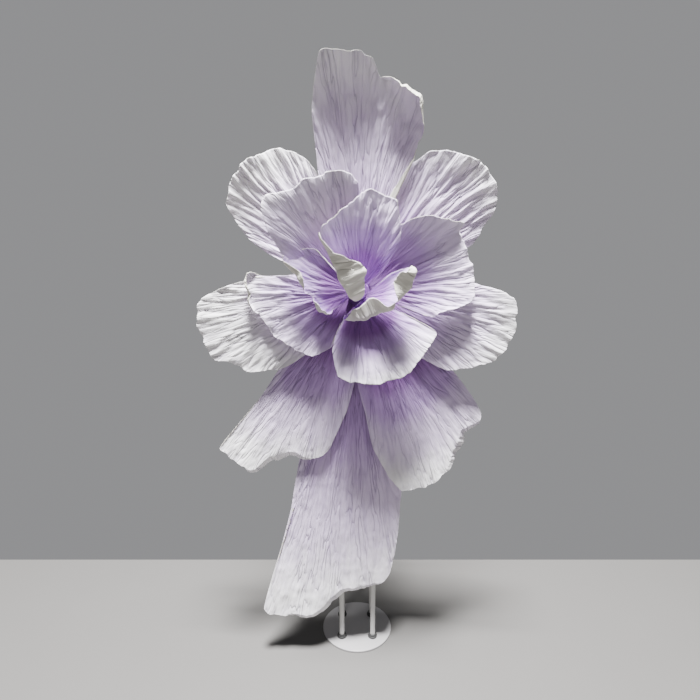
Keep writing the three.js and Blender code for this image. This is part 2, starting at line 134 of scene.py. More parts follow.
PETALS = {
    "back_bottom": Petal(
        262, 1128, 0, 7, (0, 1, 9), -0.2,
        ((91, 45), (306, 133), (464, 196), (623, 245), (793, 257), (920, 252), (967, 226), (987, 158),
         (1008, 90), (1054, 49), (1106, 7), (1114, -50), (1129, -112), (1111, -170), (1013, -160),
         (877, -139), (740, -123), (564, -117), (306, -85), (91, -40)),
        ((0.46, 0.08, 32, -45),), 2.2, 2.5, 6, (0.42, 1.0)),
    "back_upper_left": Petal(
        138, 472, 0, 16, (2, 2, 3, 10, 22), -0.3,
        ((70, 40), (165, 86), (241, 107), (321, 112), (382, 92), (433, 70), (463, 11), (463, -65),
         (448, -105), (407, -161), (342, -183), (271, -171), (160, -105), (70, -45)),
        (), 8, 2, 6, (0.3, 0.95)),
    "back_upper_right": Petal(
        48, 483, 0, 16, (2, 2, 3, 10, 22), -0.3,
        ((80, 45), (241, 125), (337, 142), (403, 122), (443, 80), (469, 19), (476, -42), (465, -97),
         (433, -128), (388, -151), (342, -155), (292, -165), (170, -107), (80, -46)),
        (), 8, 2, 6, (0.4, 1.1)),
    "back_left": Petal(
        186, 460, 0, 34, (8, 6, 3), -0.1,
        ((50, 70), (135, 180), (235, 222), (325, 215), (385, 178), (432, 165), (450, 110), (460, 60),
         (455, 0), (440, -30), (375, -55), (300, -70), (180, -70), (60, -42)),
        (), 5.5, 2, 6, (0.25, 0.8)),
    # Its violet reaches further out than its neighbours', as painted shadow of the middle petals over its
    # middle.
    "back_lower_right": Petal(
        298, 627, 0, 16, (2, 2, 8), -0.2,
        ((81, 40), (203, 111), (334, 151), (459, 169), (505, 167), (528, 145), (521, 91), (572, 35),
         (622, -16), (639, -63), (632, -134), (617, -184), (551, -202), (443, -202), (329, -170),
         (224, -143), (81, -55)),
        ((0.41, 0.08, 30, -45),), 2.6, 2, 6, (0.62, 1.0)),
    "back_top": Petal(
        92, 636, 0, 29, (2, 1, 2, 16, 32), 0.4,
        ((70, 40), (180, 80), (301, 107), (469, 117), (554, 106), (602, 96), (631, 83), (634, 30),
         (628, -15), (602, -58), (558, -79), (545, -125), (506, -189), (425, -195), (343, -174),
         (240, -107), (80, -45)),
        ((0.66, 0.09, 30, 110),), 3, 2.5, 6, (0.3, 1.1)),
    "back_right": Petal(
        352, 455, 0, 29, (8, 8, 4), 0.3,
        ((80, 45), (200, 80), (300, 76), (385, 65), (425, 45), (450, 10), (452, -45), (440, -100),
         (412, -150), (375, -172), (345, -190), (260, -207), (180, -175), (70, -70)),
        (), 4.5, 2, 6, (0.45, 1.0)),
    "back_lower_left": Petal(
        236, 653, 0, 22, (2, 1, 8), -0.2,
        ((70, 56), (208, 153), (306, 190), (430, 214), (466, 215), (512, 176), (524, 115), (573, 65),
         (643, 43), (653, -24), (641, -88), (552, -82), (414, -69), (300, -70), (182, -55), (70, -38)),
        ((0.43, 0.09, 32, -45),), 2.2, 2, 6, (0.5, 0.95)),
    "mid_left": Petal(
        194, 300, 1, 56, (12, 6, 0), 0.3,
        ((29, 61), (92, 143), (157, 157), (203, 123), (249, 70), (272, 4), (299, -58), (293, -107),
         (282, -130), (223, -111), (137, -94), (39, -45)),
        ((0.6, 0.1, 20, 140),), 4.5, 2, 5, (0.6, 1.1)),
    "mid_upper_left": Petal(
        132, 370, 1, 56, (18, 20, 20, 18, 14), 0.3,
        ((50, 35), (130, 70), (220, 90), (295, 75), (345, 48), (368, 10), (345, -35), (325, -62),
         (330, -90), (308, -125), (300, -158), (268, -195), (215, -205), (130, -130), (45, -50)),
        (), 1.4, 1.5, 6, (0.5, 1.15), ((0.3, 0.16, 10), (0.62, 0.14, 12))),
    "mid_bottom": Petal(
        286, 260, 1, 70, (26, 20, 10), 0.4,
        ((57, 95), (159, 191), (214, 126), (250, 81), (257, 20), (257, -41), (235, -101), (204, -128),
         (125, -126), (77, -100), (23, -50)),
        (), 3, 1.6, 5, (0.62, 1.05)),
    "mid_right": Petal(
        18, 322, 1, 72, (10, 4, 0), 2,
        ((39, 70), (145, 160), (237, 155), (290, 120), (322, 99), (304, 79), (315, 27), (321, -24),
         (314, -70), (285, -126), (212, -133), (156, -141), (88, -91), (24, -40)),
        (), 4.5, 2, 5, (0.6, 1.2), ((0.2, 0.22, 34), (0.62, 0.12, -8))),
    "inner_left": Petal(
        168, 225, 2, 85, (20, 10, 4), 1,
        ((12, 31), (45, 63), (67, 79), (90, 65), (104, 43), (137, 28), (157, -5), (182, -26),
         (218, -48), (218, -73), (181, -88), (131, -94), (81, -58), (20, -21)),
        ((0.18, 0.08, 26, 130), (0.43, 0.14, 26, 150)), 3.4, 2, 3, (0.75, 1.4),
        ((0.33, 0.1, 9), (0.62, 0.12, -10))),
    "inner_top": Petal(
        88, 285, 2, 94, (26, 18, 6), 2,
        ((30, 40), (110, 95), (160, 120), (190, 112), (225, 65), (252, 30), (278, 5), (288, -25),
         (275, -58), (258, -90), (220, -102), (140, -110), (75, -80), (20, -35)),
        (), 4.4, 2, 4, (0.65, 1.25), ((0.25, 0.3, 30), (0.6, 0.18, -12), (0.8, 0.12, 6))),
    # Its deep violet reaches far out, partly real dye and partly painted shade of the heart beside it.
    "inner_right": Petal(
        322, 130, 2, 102, (40, 45, 50), 3,
        ((8, 45), (30, 100), (78, 148), (122, 152), (118, 80), (112, 30), (88, 0), (58, -35),
         (28, -72), (0, -84), (0, -35)),
        ((0.41, 0.13, 54, 130), (0.72, 0.2, 56, 140)), 3, 1.8, 2, (0.9, 1.7),
        ((0.24, 0.1, -9), (0.55, 0.09, 9))),
    "inner_curl": Petal(
        203, 120, 2, 109, (84, 84, 80), 0,
        ((35, 5), (80, -8), (95, -40), (102, -85), (105, -140), (110, -195), (60, -115), (20, -45)),
        ((0.22, 0.22, 50, 55), (0.3, 0.36, 25, 50)), 3, 1.5, 2, (0.3, 1.1)),
}


def cut_line(points, per_span=16, tightness=0.55):
    """Points along the curve through the given ones; the tighter it is, the crisper its corners."""
    knots = np.asarray(points, float)
    knots = np.vstack([knots[:1], knots, knots[-1:]])
    t = (np.arange(per_span) / per_span)[:, None]
    spans = []
    for a, b, c, d in zip(knots, knots[1:], knots[2:], knots[3:]):
        slope_in, slope_out = (c - a) / 2 * (1 - tightness), (d - b) / 2 * (1 - tightness)
        spans.append(b + slope_in * t + (3 * (c - b) - 2 * slope_in - slope_out) * t ** 2
                     + (2 * (b - c) + slope_in + slope_out) * t ** 3)
    return np.vstack(spans + [knots[-1:]])


def spaced_across(line, count):
    """count + 1 points along a rim, closest where it runs across the sheet, and their shares of it."""
    step = np.diff(line, axis=0)
    length = np.linalg.norm(step, axis=1)
    middle = (line[1:] + line[:-1]) / 2
    crossing = np.abs(middle[:, 0] * step[:, 1] - middle[:, 1] * step[:, 0]) / np.linalg.norm(middle, axis=1)
    along = np.r_[0, np.cumsum(length)]
    weight = np.r_[0, np.cumsum(crossing + 0.35 * length)]
    at = np.interp(np.linspace(0, weight[-1], count + 1), weight, along)
    return np.stack([np.interp(at, along, line[:, axis]) for axis in (0, 1)], 1), at / along[-1]


def wander(at, wave, rng):
    """A smooth random line of about unit height, at the given distances, with a bend every wave."""
    knots = int(at[-1] / wave) + 4
    values = rng.uniform(-1, 1, knots)
    place = at / wave
    low = np.minimum(place.astype(int), knots - 2)
    part = place - low
    part = part * part * (3 - 2 * part)
    return values[low] * (1 - part) + values[low + 1] * part


def torn(at, wave, rng):
    """A random line of straight stretches and sharp corners, as paper tears."""
    knots = int(at[-1] / wave) + 3
    corners = np.cumsum(rng.uniform(0.4, 1.6, knots)) * wave
    corners *= at[-1] / corners[-1]
    return np.interp(at, np.r_[0, corners], rng.uniform(-1, 1, knots + 1))


def slope_at(lean, share):
    return np.radians(np.interp(share, np.linspace(0, 1, len(lean)), lean))


def bend(petal, along, across, lift):
    """Puts flat points of the sheet in place: mm in, metres out. lift stands off its front face."""
    heading = math.radians(petal.heading)
    outward = np.array((math.cos(heading), 0, math.sin(heading)))
    sideways = np.array((-math.sin(heading), 0, math.cos(heading)))
    forward = np.array((0, -1, 0))
    steps = 24
    share = (np.arange(steps) + 0.5) / steps
    slopes = slope_at(petal.lean, along[..., None] / petal.length * share)
    reach = np.cos(slopes).mean(-1) * along
    rise = np.sin(slopes).mean(-1) * along
    slope = slope_at(petal.lean, along / petal.length)
    curvature = (petal.cup or 1e-3) * MM
    turn = curvature * across
    aside = np.sin(turn) / curvature - lift * np.sin(turn)
    above = (1 - np.cos(turn)) / curvature + lift * np.cos(turn)
    start = DRUM_RADII[petal.drum] + ROOT_CLEARANCE
    place = (outward * (start + reach - np.sin(slope) * above)[..., None]
             + forward * (petal.forward + rise + np.cos(slope) * above)[..., None]
             + sideways * aside[..., None])
    return np.array(HUB_BACK) + place * MM


def turned_at(petal, share):
    """Width in mm and angle of the paper turned over, at shares of the way round the rim."""
    width = np.zeros_like(share)
    angle = np.zeros_like(share)
    for middle, reach, flap, turn in petal.turned:
        away = np.minimum(np.abs(share - middle) / reach, 1)
        width += flap * np.cos(away * math.pi / 2)
        angle += math.radians(turn) * (1 - away ** 4)
    return width, angle


def roll(distance, angle):
    """How far a rolled rim reaches past its fold, and how far it stands off the sheet, in mm."""
    arc = CURL_RADIUS * np.abs(angle)
    turn = np.minimum(distance, arc) / CURL_RADIUS
    straight = np.maximum(distance - arc, 0)
    reach = CURL_RADIUS * np.sin(turn) + straight * np.cos(turn)
    lift = CURL_RADIUS * (1 - np.cos(turn)) + straight * np.sin(turn)
    return reach, lift * np.sign(angle)


Rim = namedtuple("Rim", "line foot normal share fringe")  # line and foot in mm, on the flat sheet
Row = namedtuple("Row", "flat lift reach edge")
Sheet = namedtuple("Sheet", "points across along reach edge")


def grid_size(petal, perimeter):
    """Columns and rows of the petal's grid: more of them in a larger sheet."""
    coarse = 1
    columns = int(perimeter ** 0.65 * COLUMN_DENSITY / coarse) // 2 * 2
    return columns, int(petal.length ** 0.7 * ROW_DENSITY / coarse)


def torn_rim(smooth, perimeter, columns, rng):
    """Points round the torn rim, each with its root point, its outward normal and its share of the way."""
    line, share = spaced_across(smooth, columns)
    tangent = np.gradient(line, axis=0)
    normal = np.stack([-tangent[:, 1], tangent[:, 0]], 1)
    normal /= np.linalg.norm(normal, axis=1)[:, None]
    fringe = np.minimum(1, np.minimum(share, 1 - share) / CALM_SHARE)
    ragged = sum(depth * torn(share * perimeter, wave, rng) for depth, wave in TORN) * fringe
    foot = np.stack([np.zeros(columns + 1), ROOT_WIDTH * (0.5 - share)], 1)
    # Where the cut runs along the sheet it stays clean, and tears only as it turns across.
    heading = (line - foot) / np.linalg.norm(line - foot, axis=1)[:, None]
    crossing = np.abs(heading[:, 0] * normal[:, 0] + heading[:, 1] * normal[:, 1])
    line = line + normal * (ragged * np.minimum(1, 1.4 * crossing ** 1.5))[:, None]
    return Rim(line, foot, normal, share, fringe)


def width_across(ray, ray_length, rim):
    """Distance across the rays, so that the sides of a long petal aren't counted as its width."""
    step_out = np.diff(rim.line, axis=0)
    middle_ray = (ray[1:] + ray[:-1]) / (ray_length[1:] + ray_length[:-1])[:, None]
    sideways = np.abs(middle_ray[:, 0] * step_out[:, 1] - middle_ray[:, 1] * step_out[:, 0])
    return np.r_[0, np.cumsum(sideways)]


def blade_rows(petal, rim, ray, ray_length, rows, ruffle, lip):
    """Rows from the root to the rim, closest at the rim, with the ruffle, the curled lip and the folds."""
    grid = []
    for step in range(rows + 1):
        t = 1 - (1 - step / rows) ** 1.25
        out = t * np.minimum(1, ray_length / petal.length)
        flat = rim.foot + ray * t
        curl = LIP_CURL * max(0, (t - LIP_START) / (1 - LIP_START)) ** 2
        fold = sum(depth * out ** 1.5 * np.maximum(0, 1 - np.abs(rim.share - at) / spread)
                   for at, spread, depth in petal.folds)
        lift = petal.ruffle * ruffle * out ** 3 + curl * lip * out + fold
        edge = np.linalg.norm(flat[:, None] - rim.line[None], axis=2).min(1)
        grid.append(Row(flat, lift, np.full_like(out, t), edge))
    return grid


def flap_rows(petal, rim, lift_at_rim, flap, angle):
    """Rows of the paper past the rim, rolled round to the given angle."""
    grid = []
    count = 14
    for step in range(1, count + 1):
        past = step / count * flap
        reach, lift = roll(past, np.where(np.abs(angle) < 1e-6, 1e-6, angle))
        grid.append(Row(rim.line + rim.normal * reach[:, None], lift_at_rim + lift,
                        1 + past / petal.length, flap * (1 - step / count)))
    return grid


def sheet_grid(petal, seed):
    """The petal as rows of points from root to rim and round any rolled edge, with its flat measures."""
    rng = np.random.default_rng(seed)
    smooth = cut_line(petal.rim)
    perimeter = np.linalg.norm(np.diff(smooth, axis=0), axis=1).sum()
    columns, rows = grid_size(petal, perimeter)
    rim = torn_rim(smooth, perimeter, columns, rng)
    ray = rim.line - rim.foot
    ray_length = np.linalg.norm(ray, axis=1)
    width = width_across(ray, ray_length, rim)
    long_wave, short_wave = (wander(width, wave, rng) for wave in RUFFLE_WAVES)
    ruffle = (long_wave + 0.5 * short_wave) * rim.fringe
    lip = wander(width, LIP_WAVE, rng) * rim.fringe
    grid = blade_rows(petal, rim, ray, ray_length, rows, ruffle, lip)
    if petal.turned:
        flap, angle = turned_at(petal, rim.share)
        flap = flap * (1 + 0.12 * wander(rim.share * perimeter, FLAP_WAVE, rng)) + CURL_OVERLAP
        grid = [row._replace(edge=row.edge + flap) for row in grid]
        grid += flap_rows(petal, rim, grid[-1].lift, flap, angle)
    flats, lifts, reaches, edges = (np.array(values) for values in zip(*grid))
    points = bend(petal, flats[..., 0], flats[..., 1], lifts)
    across = np.broadcast_to(width * MM, reaches.shape)
    along = reaches * ray_length
    reach = 0.75 * along / petal.length + 0.25 * reaches
    return Sheet(points, across, along * MM, reach, edges * MM)


def grid_quads(rows, columns):
    row, column = np.meshgrid(np.arange(rows - 1), np.arange(columns - 1), indexing="ij")
    corner = (row * columns + column).ravel()
    return np.stack([corner, corner + 1, corner + columns + 1, corner + columns], 1)


def grid_mesh(name, sheet):
    """The open sheet, one side, with its flat measures as attributes."""
    rows, columns = sheet.reach.shape
    mesh = bpy.data.meshes.new(name)
    mesh.from_pydata(sheet.points.reshape(-1, 3).tolist(), [], grid_quads(rows, columns).tolist())
    for label in ("across", "along", "reach", "edge"):
        values = np.ascontiguousarray(getattr(sheet, label), np.float32).ravel()
        mesh.attributes.new(label, "FLOAT", "POINT").data.foreach_set("value", values)
    mesh.shade_smooth()
    return mesh


# ---------------------------------------------------------------- helpers for node trees


def link(tree, source, target):
    tree.links.new(source, target)


def feed(tree, socket, value):
    """Gives a socket its value, which is another socket, a colour or a plain value."""
    if isinstance(value, bpy.types.NodeSocket):
        link(tree, value, socket)
    elif socket.type == "RGBA":
        socket.default_value = (*value[:3], 1)
    else:
        socket.default_value = value


def add_node(tree, kind, inputs=None, **settings):
    """A new node with its settings made, and its inputs fed by name or number."""
    node = tree.nodes.new(kind)
    for name, value in settings.items():
        setattr(node, name, value)
    for name, value in (inputs or {}).items():
        feed(tree, node.inputs[name], value)
    return node


def math_node(tree, operation, first, second, clamp=False):
    """The result of a Math node; first and second are sockets or numbers."""
    node = add_node(tree, "ShaderNodeMath", {0: first, 1: second}, operation=operation, use_clamp=clamp)
    return node.outputs[0]


def times(tree, first, second):
    return math_node(tree, "MULTIPLY", first, second)


def plus(tree, first, second, clamp=False):
    return math_node(tree, "ADD", first, second, clamp)


def minus(tree, first, second, clamp=False):
    return math_node(tree, "SUBTRACT", first, second, clamp)


def one_value(tree, operation, value):
    """The result of a Math node that takes a single value, such as ABSOLUTE."""
    return add_node(tree, "ShaderNodeMath", {0: value}, operation=operation).outputs[0]


def scaled(tree, vector, factor):
    return add_node(tree, "ShaderNodeVectorMath", {0: vector, "Scale": factor}, operation="SCALE").outputs[0]


def vector_of(tree, x, y, z):
    return add_node(tree, "ShaderNodeCombineXYZ", {0: x, 1: y, 2: z}).outputs[0]


def noise(tree, vector, scale, detail=2.0, roughness=0.5, distortion=0.0):
    return add_node(tree, "ShaderNodeTexNoise", {
        "Vector": vector, "Scale": scale, "Detail": detail, "Roughness": roughness, "Distortion": distortion,
    }).outputs["Fac"]


def ridged(tree, value):
    """Noise turned into sharp creases: 1 on the crease, 0 away from it."""
    folded = one_value(tree, "ABSOLUTE", minus(tree, value, 0.5))
    return minus(tree, 1.0, times(tree, folded, 4.0), clamp=True)


def ramp(tree, value, low, high):
    """A smooth change from 0 at low to 1 at high."""
    return add_node(tree, "ShaderNodeMapRange", {"From Min": low, "From Max": high, "Value": value},
                    interpolation_type="SMOOTHSTEP").outputs["Result"]


# ---------------------------------------------------------------- Geometry Nodes


def set_input(modifier, name, value):
    """Sets a modifier's input, found by its name and set by its socket's identifier."""
    for item in modifier.node_group.interface.items_tree:
        if item.item_type == "SOCKET" and item.in_out == "INPUT" and item.name == name:
            modifier[item.identifier] = value
            return
    raise KeyError(name)


def geometry_tree(name, inputs):
    """A tree with a Geometry input and output and the named inputs."""
    tree = bpy.data.node_groups.new(name, "GeometryNodeTree")
    tree.interface.new_socket("Geometry", in_out="INPUT", socket_type="NodeSocketGeometry")
    tree.interface.new_socket("Geometry", in_out="OUTPUT", socket_type="NodeSocketGeometry")
    for label, kind, value in inputs:
        socket = tree.interface.new_socket(label, in_out="INPUT", socket_type=kind)
        if value is not None:
            socket.default_value = value
    return tree, tree.nodes.new("NodeGroupInput"), tree.nodes.new("NodeGroupOutput")


def finish_tree(tree, start, end, geometry):
    real = add_node(tree, "GeometryNodeRealizeInstances", {0: geometry})
    paint = add_node(tree, "GeometryNodeSetMaterial",
                     {"Geometry": real.outputs[0], "Material": start.outputs["Material"]})
    link(tree, paint.outputs[0], end.inputs[0])


def named(tree, name):
    node = add_node(tree, "GeometryNodeInputNamedAttribute", {"Name": name}, data_type="FLOAT")
    return node.outputs["Attribute"]


def crinkle_tree():
    """Gathers and creases a flat sheet: broad folds and narrow pleats that run out from the root, and
    crumpling over them."""
    tree, start, end = geometry_tree("Crinkled paper", (
        ("Fold depth", "NodeSocketFloat", 0.008),
        ("Fold width", "NodeSocketFloat", 0.07),
        ("Pleat depth", "NodeSocketFloat", 0.003),
        ("Pleat width", "NodeSocketFloat", 0.019),
        ("Crumple depth", "NodeSocketFloat", 0.002),
        ("Crumple size", "NodeSocketFloat", 0.05),
        ("Seed", "NodeSocketInt", 1),
        ("Material", "NodeSocketMaterial", None),
    ))
    value = start.outputs
    across, along, reach = named(tree, "across"), named(tree, "along"), named(tree, "reach")
    seed = times(tree, value["Seed"], 3.17)
    # Lines that run out from the root, bent a little as they go.
    drift = noise(tree, vector_of(tree, across, along, seed), 6.0)
    bent = plus(tree, across, times(tree, drift, 0.06))
    broad_at = vector_of(tree, math_node(tree, "DIVIDE", bent, value["Fold width"]),
                         times(tree, along, 2.5), seed)
    broad = one_value(tree, "ABSOLUTE", minus(tree, noise(tree, broad_at, 1.0, 1.0), 0.5))
    pleat_at = vector_of(tree, math_node(tree, "DIVIDE", bent, value["Pleat width"]),
                         times(tree, along, 9.0), plus(tree, seed, 9.0))
    fine = ridged(tree, noise(tree, pleat_at, 0.6, 1.0))
    # Crumpling: a net of creases with flat facets between them.
    position = add_node(tree, "GeometryNodeInputPosition").outputs[0]
    crumple_at = scaled(tree, position, math_node(tree, "DIVIDE", 1.0, value["Crumple size"]))
    crumple = ridged(tree, noise(tree, crumple_at, 1.0, 3.0, 0.55, 0.6))
    lift = times(tree, broad, value["Fold depth"])
    for height, depth in ((fine, "Pleat depth"), (crumple, "Crumple depth")):
        lift = minus(tree, lift, times(tree, height, value[depth]))
    # All fade towards the root, where the sheet is drawn together.
    lift = times(tree, lift, ramp(tree, reach, 0.0, 0.6))
    normal = add_node(tree, "GeometryNodeInputNormal").outputs[0]
    # The deepest creases, kept for the materials, which darken them as painted shade.
    deepest = math_node(tree, "MAXIMUM", fine, times(tree, crumple, 0.4))
    keep = add_node(tree, "GeometryNodeStoreNamedAttribute",
                    {"Name": "crease", "Geometry": value["Geometry"]}, data_type="FLOAT", domain="POINT")
    link(tree, deepest, keep.inputs["Value"])
    move = add_node(tree, "GeometryNodeSetPosition",
                    {"Geometry": keep.outputs[0], "Offset": scaled(tree, normal, lift)})
    finish_tree(tree, start, end, move.outputs[0])
    return tree


def bound_wire_tree():
    """A wire along a curve, bound in tape whose turns overlap."""
    tree, start, end = geometry_tree("Bound wire", (
        ("Diameter", "NodeSocketFloat", 0.004),
        ("Tape turn", "NodeSocketFloat", 0.012),
        ("Tape lap", "NodeSocketFloat", 0.12),
        ("Material", "NodeSocketMaterial", None),
    ))
    value = start.outputs
    even = add_node(tree, "GeometryNodeResampleCurve", mode="LENGTH")
    feed(tree, even.inputs["Length"], RIB_SAMPLING)
    feed(tree, even.inputs["Curve"], value["Geometry"])
    length = add_node(tree, "GeometryNodeSplineParameter").outputs["Length"]
    lap = one_value(tree, "FRACT", math_node(tree, "DIVIDE", length, value["Tape turn"]))
    radius = minus(tree, 1.0, times(tree, lap, value["Tape lap"]))
    section = add_node(tree, "GeometryNodeCurvePrimitiveCircle",
                       {"Resolution": 10, "Radius": math_node(tree, "DIVIDE", value["Diameter"], 2.0)})
    tube = add_node(tree, "GeometryNodeCurveToMesh",
                    {"Curve": even.outputs[0], "Profile Curve": section.outputs["Curve"], "Scale": radius,
                     "Fill Caps": True})
    finish_tree(tree, start, end, tube.outputs[0])
    return tree


def weld_tree():
    """A row of overlapping beads along a curve, as a weld is laid."""
    tree, start, end = geometry_tree("Weld", (
        ("Bead size", "NodeSocketFloat", 0.0022),
        ("Spacing", "NodeSocketFloat", 0.0016),
        ("Seed", "NodeSocketInt", 3),
        ("Material", "NodeSocketMaterial", None),
    ))
    value = start.outputs
    places = add_node(tree, "GeometryNodeCurveToPoints", mode="LENGTH")
    feed(tree, places.inputs["Curve"], value["Geometry"])
    feed(tree, places.inputs["Length"], value["Spacing"])
    bead = add_node(tree, "GeometryNodeMeshIcoSphere", {"Subdivisions": 2, "Radius": value["Bead size"]})
    size = add_node(tree, "FunctionNodeRandomValue", {"Seed": value["Seed"]}, data_type="FLOAT")
    smallest, largest = (socket for socket in size.inputs
                         if socket.type == "VALUE" and socket.name in ("Min", "Max"))
    smallest.default_value, largest.default_value = 0.85, 1.1
    bead_size = next(socket for socket in size.outputs if socket.enabled)
    spread = add_node(tree, "GeometryNodeInstanceOnPoints",
                      {"Points": places.outputs["Points"], "Instance": bead.outputs["Mesh"]})
    link(tree, bead_size, spread.inputs["Scale"])
    finish_tree(tree, start, end, spread.outputs[0])
    return tree


def evaluated_mesh(obj, name):
    """The object's mesh as its modifiers leave it; the object itself is then removed."""
    depsgraph = bpy.context.evaluated_depsgraph_get()
    mesh = bpy.data.meshes.new_from_object(obj.evaluated_get(depsgraph))
    mesh.name = name
    bpy.data.objects.remove(obj)
    return mesh


def with_tree(name, data, tree, **inputs):
    """Runs data through a Geometry Nodes tree and returns the plain mesh."""
    obj = bpy.data.objects.new(name + "_making", data)
    bpy.context.scene.collection.objects.link(obj)
    modifier = obj.modifiers.new("Making", "NODES")
    modifier.node_group = tree
    for label, value in inputs.items():
        set_input(modifier, label.replace("_", " "), value)
    return evaluated_mesh(obj, name)


# ---------------------------------------------------------------- shader node groups


def shader_group(name, inputs, outputs):
    tree = bpy.data.node_groups.new(name, "ShaderNodeTree")
    for label, kind, value in inputs:
        socket = tree.interface.new_socket(label, in_out="INPUT", socket_type=kind)
        if value is not None:
            socket.default_value = value
    for label, kind in outputs:
        tree.interface.new_socket(label, in_out="OUTPUT", socket_type=kind)
    return tree, tree.nodes.new("NodeGroupInput"), tree.nodes.new("NodeGroupOutput")


def fibre_group():
    """Creases, crumples, fibres and cloudy dye of crinkled paper, drawn out along the sheet."""
    tree, start, end = shader_group(
        "Paper fibre",
        (("Vector", "NodeSocketVector", None), ("Stretch", "NodeSocketFloat", 0.2)),
        (("Height", "NodeSocketFloat"), ("Crease", "NodeSocketFloat"), ("Mottle", "NodeSocketFloat"),
         ("Streak", "NodeSocketFloat")))
    vector = start.outputs["Vector"]
    split = add_node(tree, "ShaderNodeSeparateXYZ", {0: vector}).outputs
    drawn = vector_of(tree, split[0], times(tree, split[1], start.outputs["Stretch"]), split[2])
    # Creases run along the sheet, close together in some places and scarce in others.
    crease = ridged(tree, noise(tree, drawn, 52.0, 1.5, 0.5, 0.35))
    groove = math_node(tree, "POWER", crease, 5.0)
    cluster = ramp(tree, noise(tree, drawn, 16.0), 0.40, 0.60)
    deep = times(tree, groove, plus(tree, times(tree, cluster, 0.8), 0.2))
    fine = ridged(tree, noise(tree, drawn, 120.0, 2.0, 0.5, 0.3))
    # Crumples are flat facets with sharp edges, in patches.
    wobble = add_node(tree, "ShaderNodeTexNoise", {"Scale": 30.0, "Vector": drawn}).outputs["Color"]
    moved = add_node(tree, "ShaderNodeVectorMath", {0: drawn, 1: scaled(tree, wobble, 0.03)})
    facets = add_node(tree, "ShaderNodeTexVoronoi",
                      {"Scale": 55.0, "Randomness": 1.0, "Vector": moved.outputs[0]})
    patch = ramp(tree, noise(tree, vector, 9.0), 0.45, 0.65)
    crumple = times(tree, facets.outputs["Distance"], patch)
    grain = noise(tree, vector, 420.0)
    height = minus(tree, times(tree, grain, 0.12), deep)
    height = minus(tree, height, times(tree, fine, 0.22))
    height = plus(tree, height, times(tree, crumple, 0.9))
    # The Crease output darkens the dye along the deepest creases: painted shade.
    dark = times(tree, math_node(tree, "POWER", crease, 14.0), cluster)
    mottle, streak = noise(tree, vector, 22.0, 4.0, 0.6), noise(tree, drawn, 45.0, 3.0, 0.6)
    for name, value in (("Height", height), ("Crease", dark), ("Mottle", mottle), ("Streak", streak)):
        link(tree, value, end.inputs[name])
    return tree


def shared_fibre():
    """The one paper fibre group, built on first use."""
    return bpy.data.node_groups.get("Paper fibre") or fibre_group()


def wear_group():
    """Dust and small scuffs on a painted, turned or moulded surface."""
    tree, start, end = shader_group(
        "Handled surface",
        (("Vector", "NodeSocketVector", None), ("Grain", "NodeSocketFloat", 400.0)),
        (("Height", "NodeSocketFloat"), ("Mottle", "NodeSocketFloat"), ("Scuff", "NodeSocketFloat")))
    vector = start.outputs["Vector"]
    grain = noise(tree, vector, start.outputs["Grain"])
    mottle = noise(tree, vector, 14.0, 5.0, 0.65)
    scuff = ramp(tree, noise(tree, vector, 60.0, 6.0, 0.75, 1.2), 0.6, 0.72)
    for name, value in (("Height", grain), ("Mottle", mottle), ("Scuff", scuff)):
        link(tree, value, end.inputs[name])
    return tree


def shared_wear():
    """The one wear group, built on first use."""
    return bpy.data.node_groups.get("Handled surface") or wear_group()


def group_node(tree, group, vector, **values):
    """The outputs of a shared group, used on the given coordinates."""
    node = add_node(tree, "ShaderNodeGroup", node_tree=group)
    for name, value in {"Vector": vector, **values}.items():
        feed(tree, node.inputs[name], value)
    return node.outputs


def new_material(name, roughness, metallic=0.0):
    material = bpy.data.materials.new(name)
    material.use_nodes = True
    tree = material.node_tree
    shader = tree.nodes["Principled BSDF"]
    shader.inputs["Roughness"].default_value = roughness
    shader.inputs["Metallic"].default_value = metallic
    return material, tree, shader


def mix_colour(tree, factor, first, second, mode="MIX"):
    """Two colours mixed; each is a socket or a colour."""
    node = add_node(tree, "ShaderNodeMix", data_type="RGBA", blend_type=mode)
    for number, value in ((0, factor), (6, first), (7, second)):
        feed(tree, node.inputs[number], value)
    return node.outputs[2]


def bump(tree, shader, height, strength, distance):
    node = add_node(tree, "ShaderNodeBump", {"Strength": strength, "Distance": distance, "Height": height})
    link(tree, node.outputs[0], shader.inputs["Normal"])


def attribute(tree, name):
    return add_node(tree, "ShaderNodeAttribute", attribute_name=name).outputs["Fac"]


def on_sheet(tree):
    """Coordinates on the flat sheet: across it and along it, in metres."""
    return add_node(tree, "ShaderNodeUVMap", uv_map="sheet").outputs[0]


def on_object(tree):
    return add_node(tree, "ShaderNodeTexCoord").outputs["Object"]


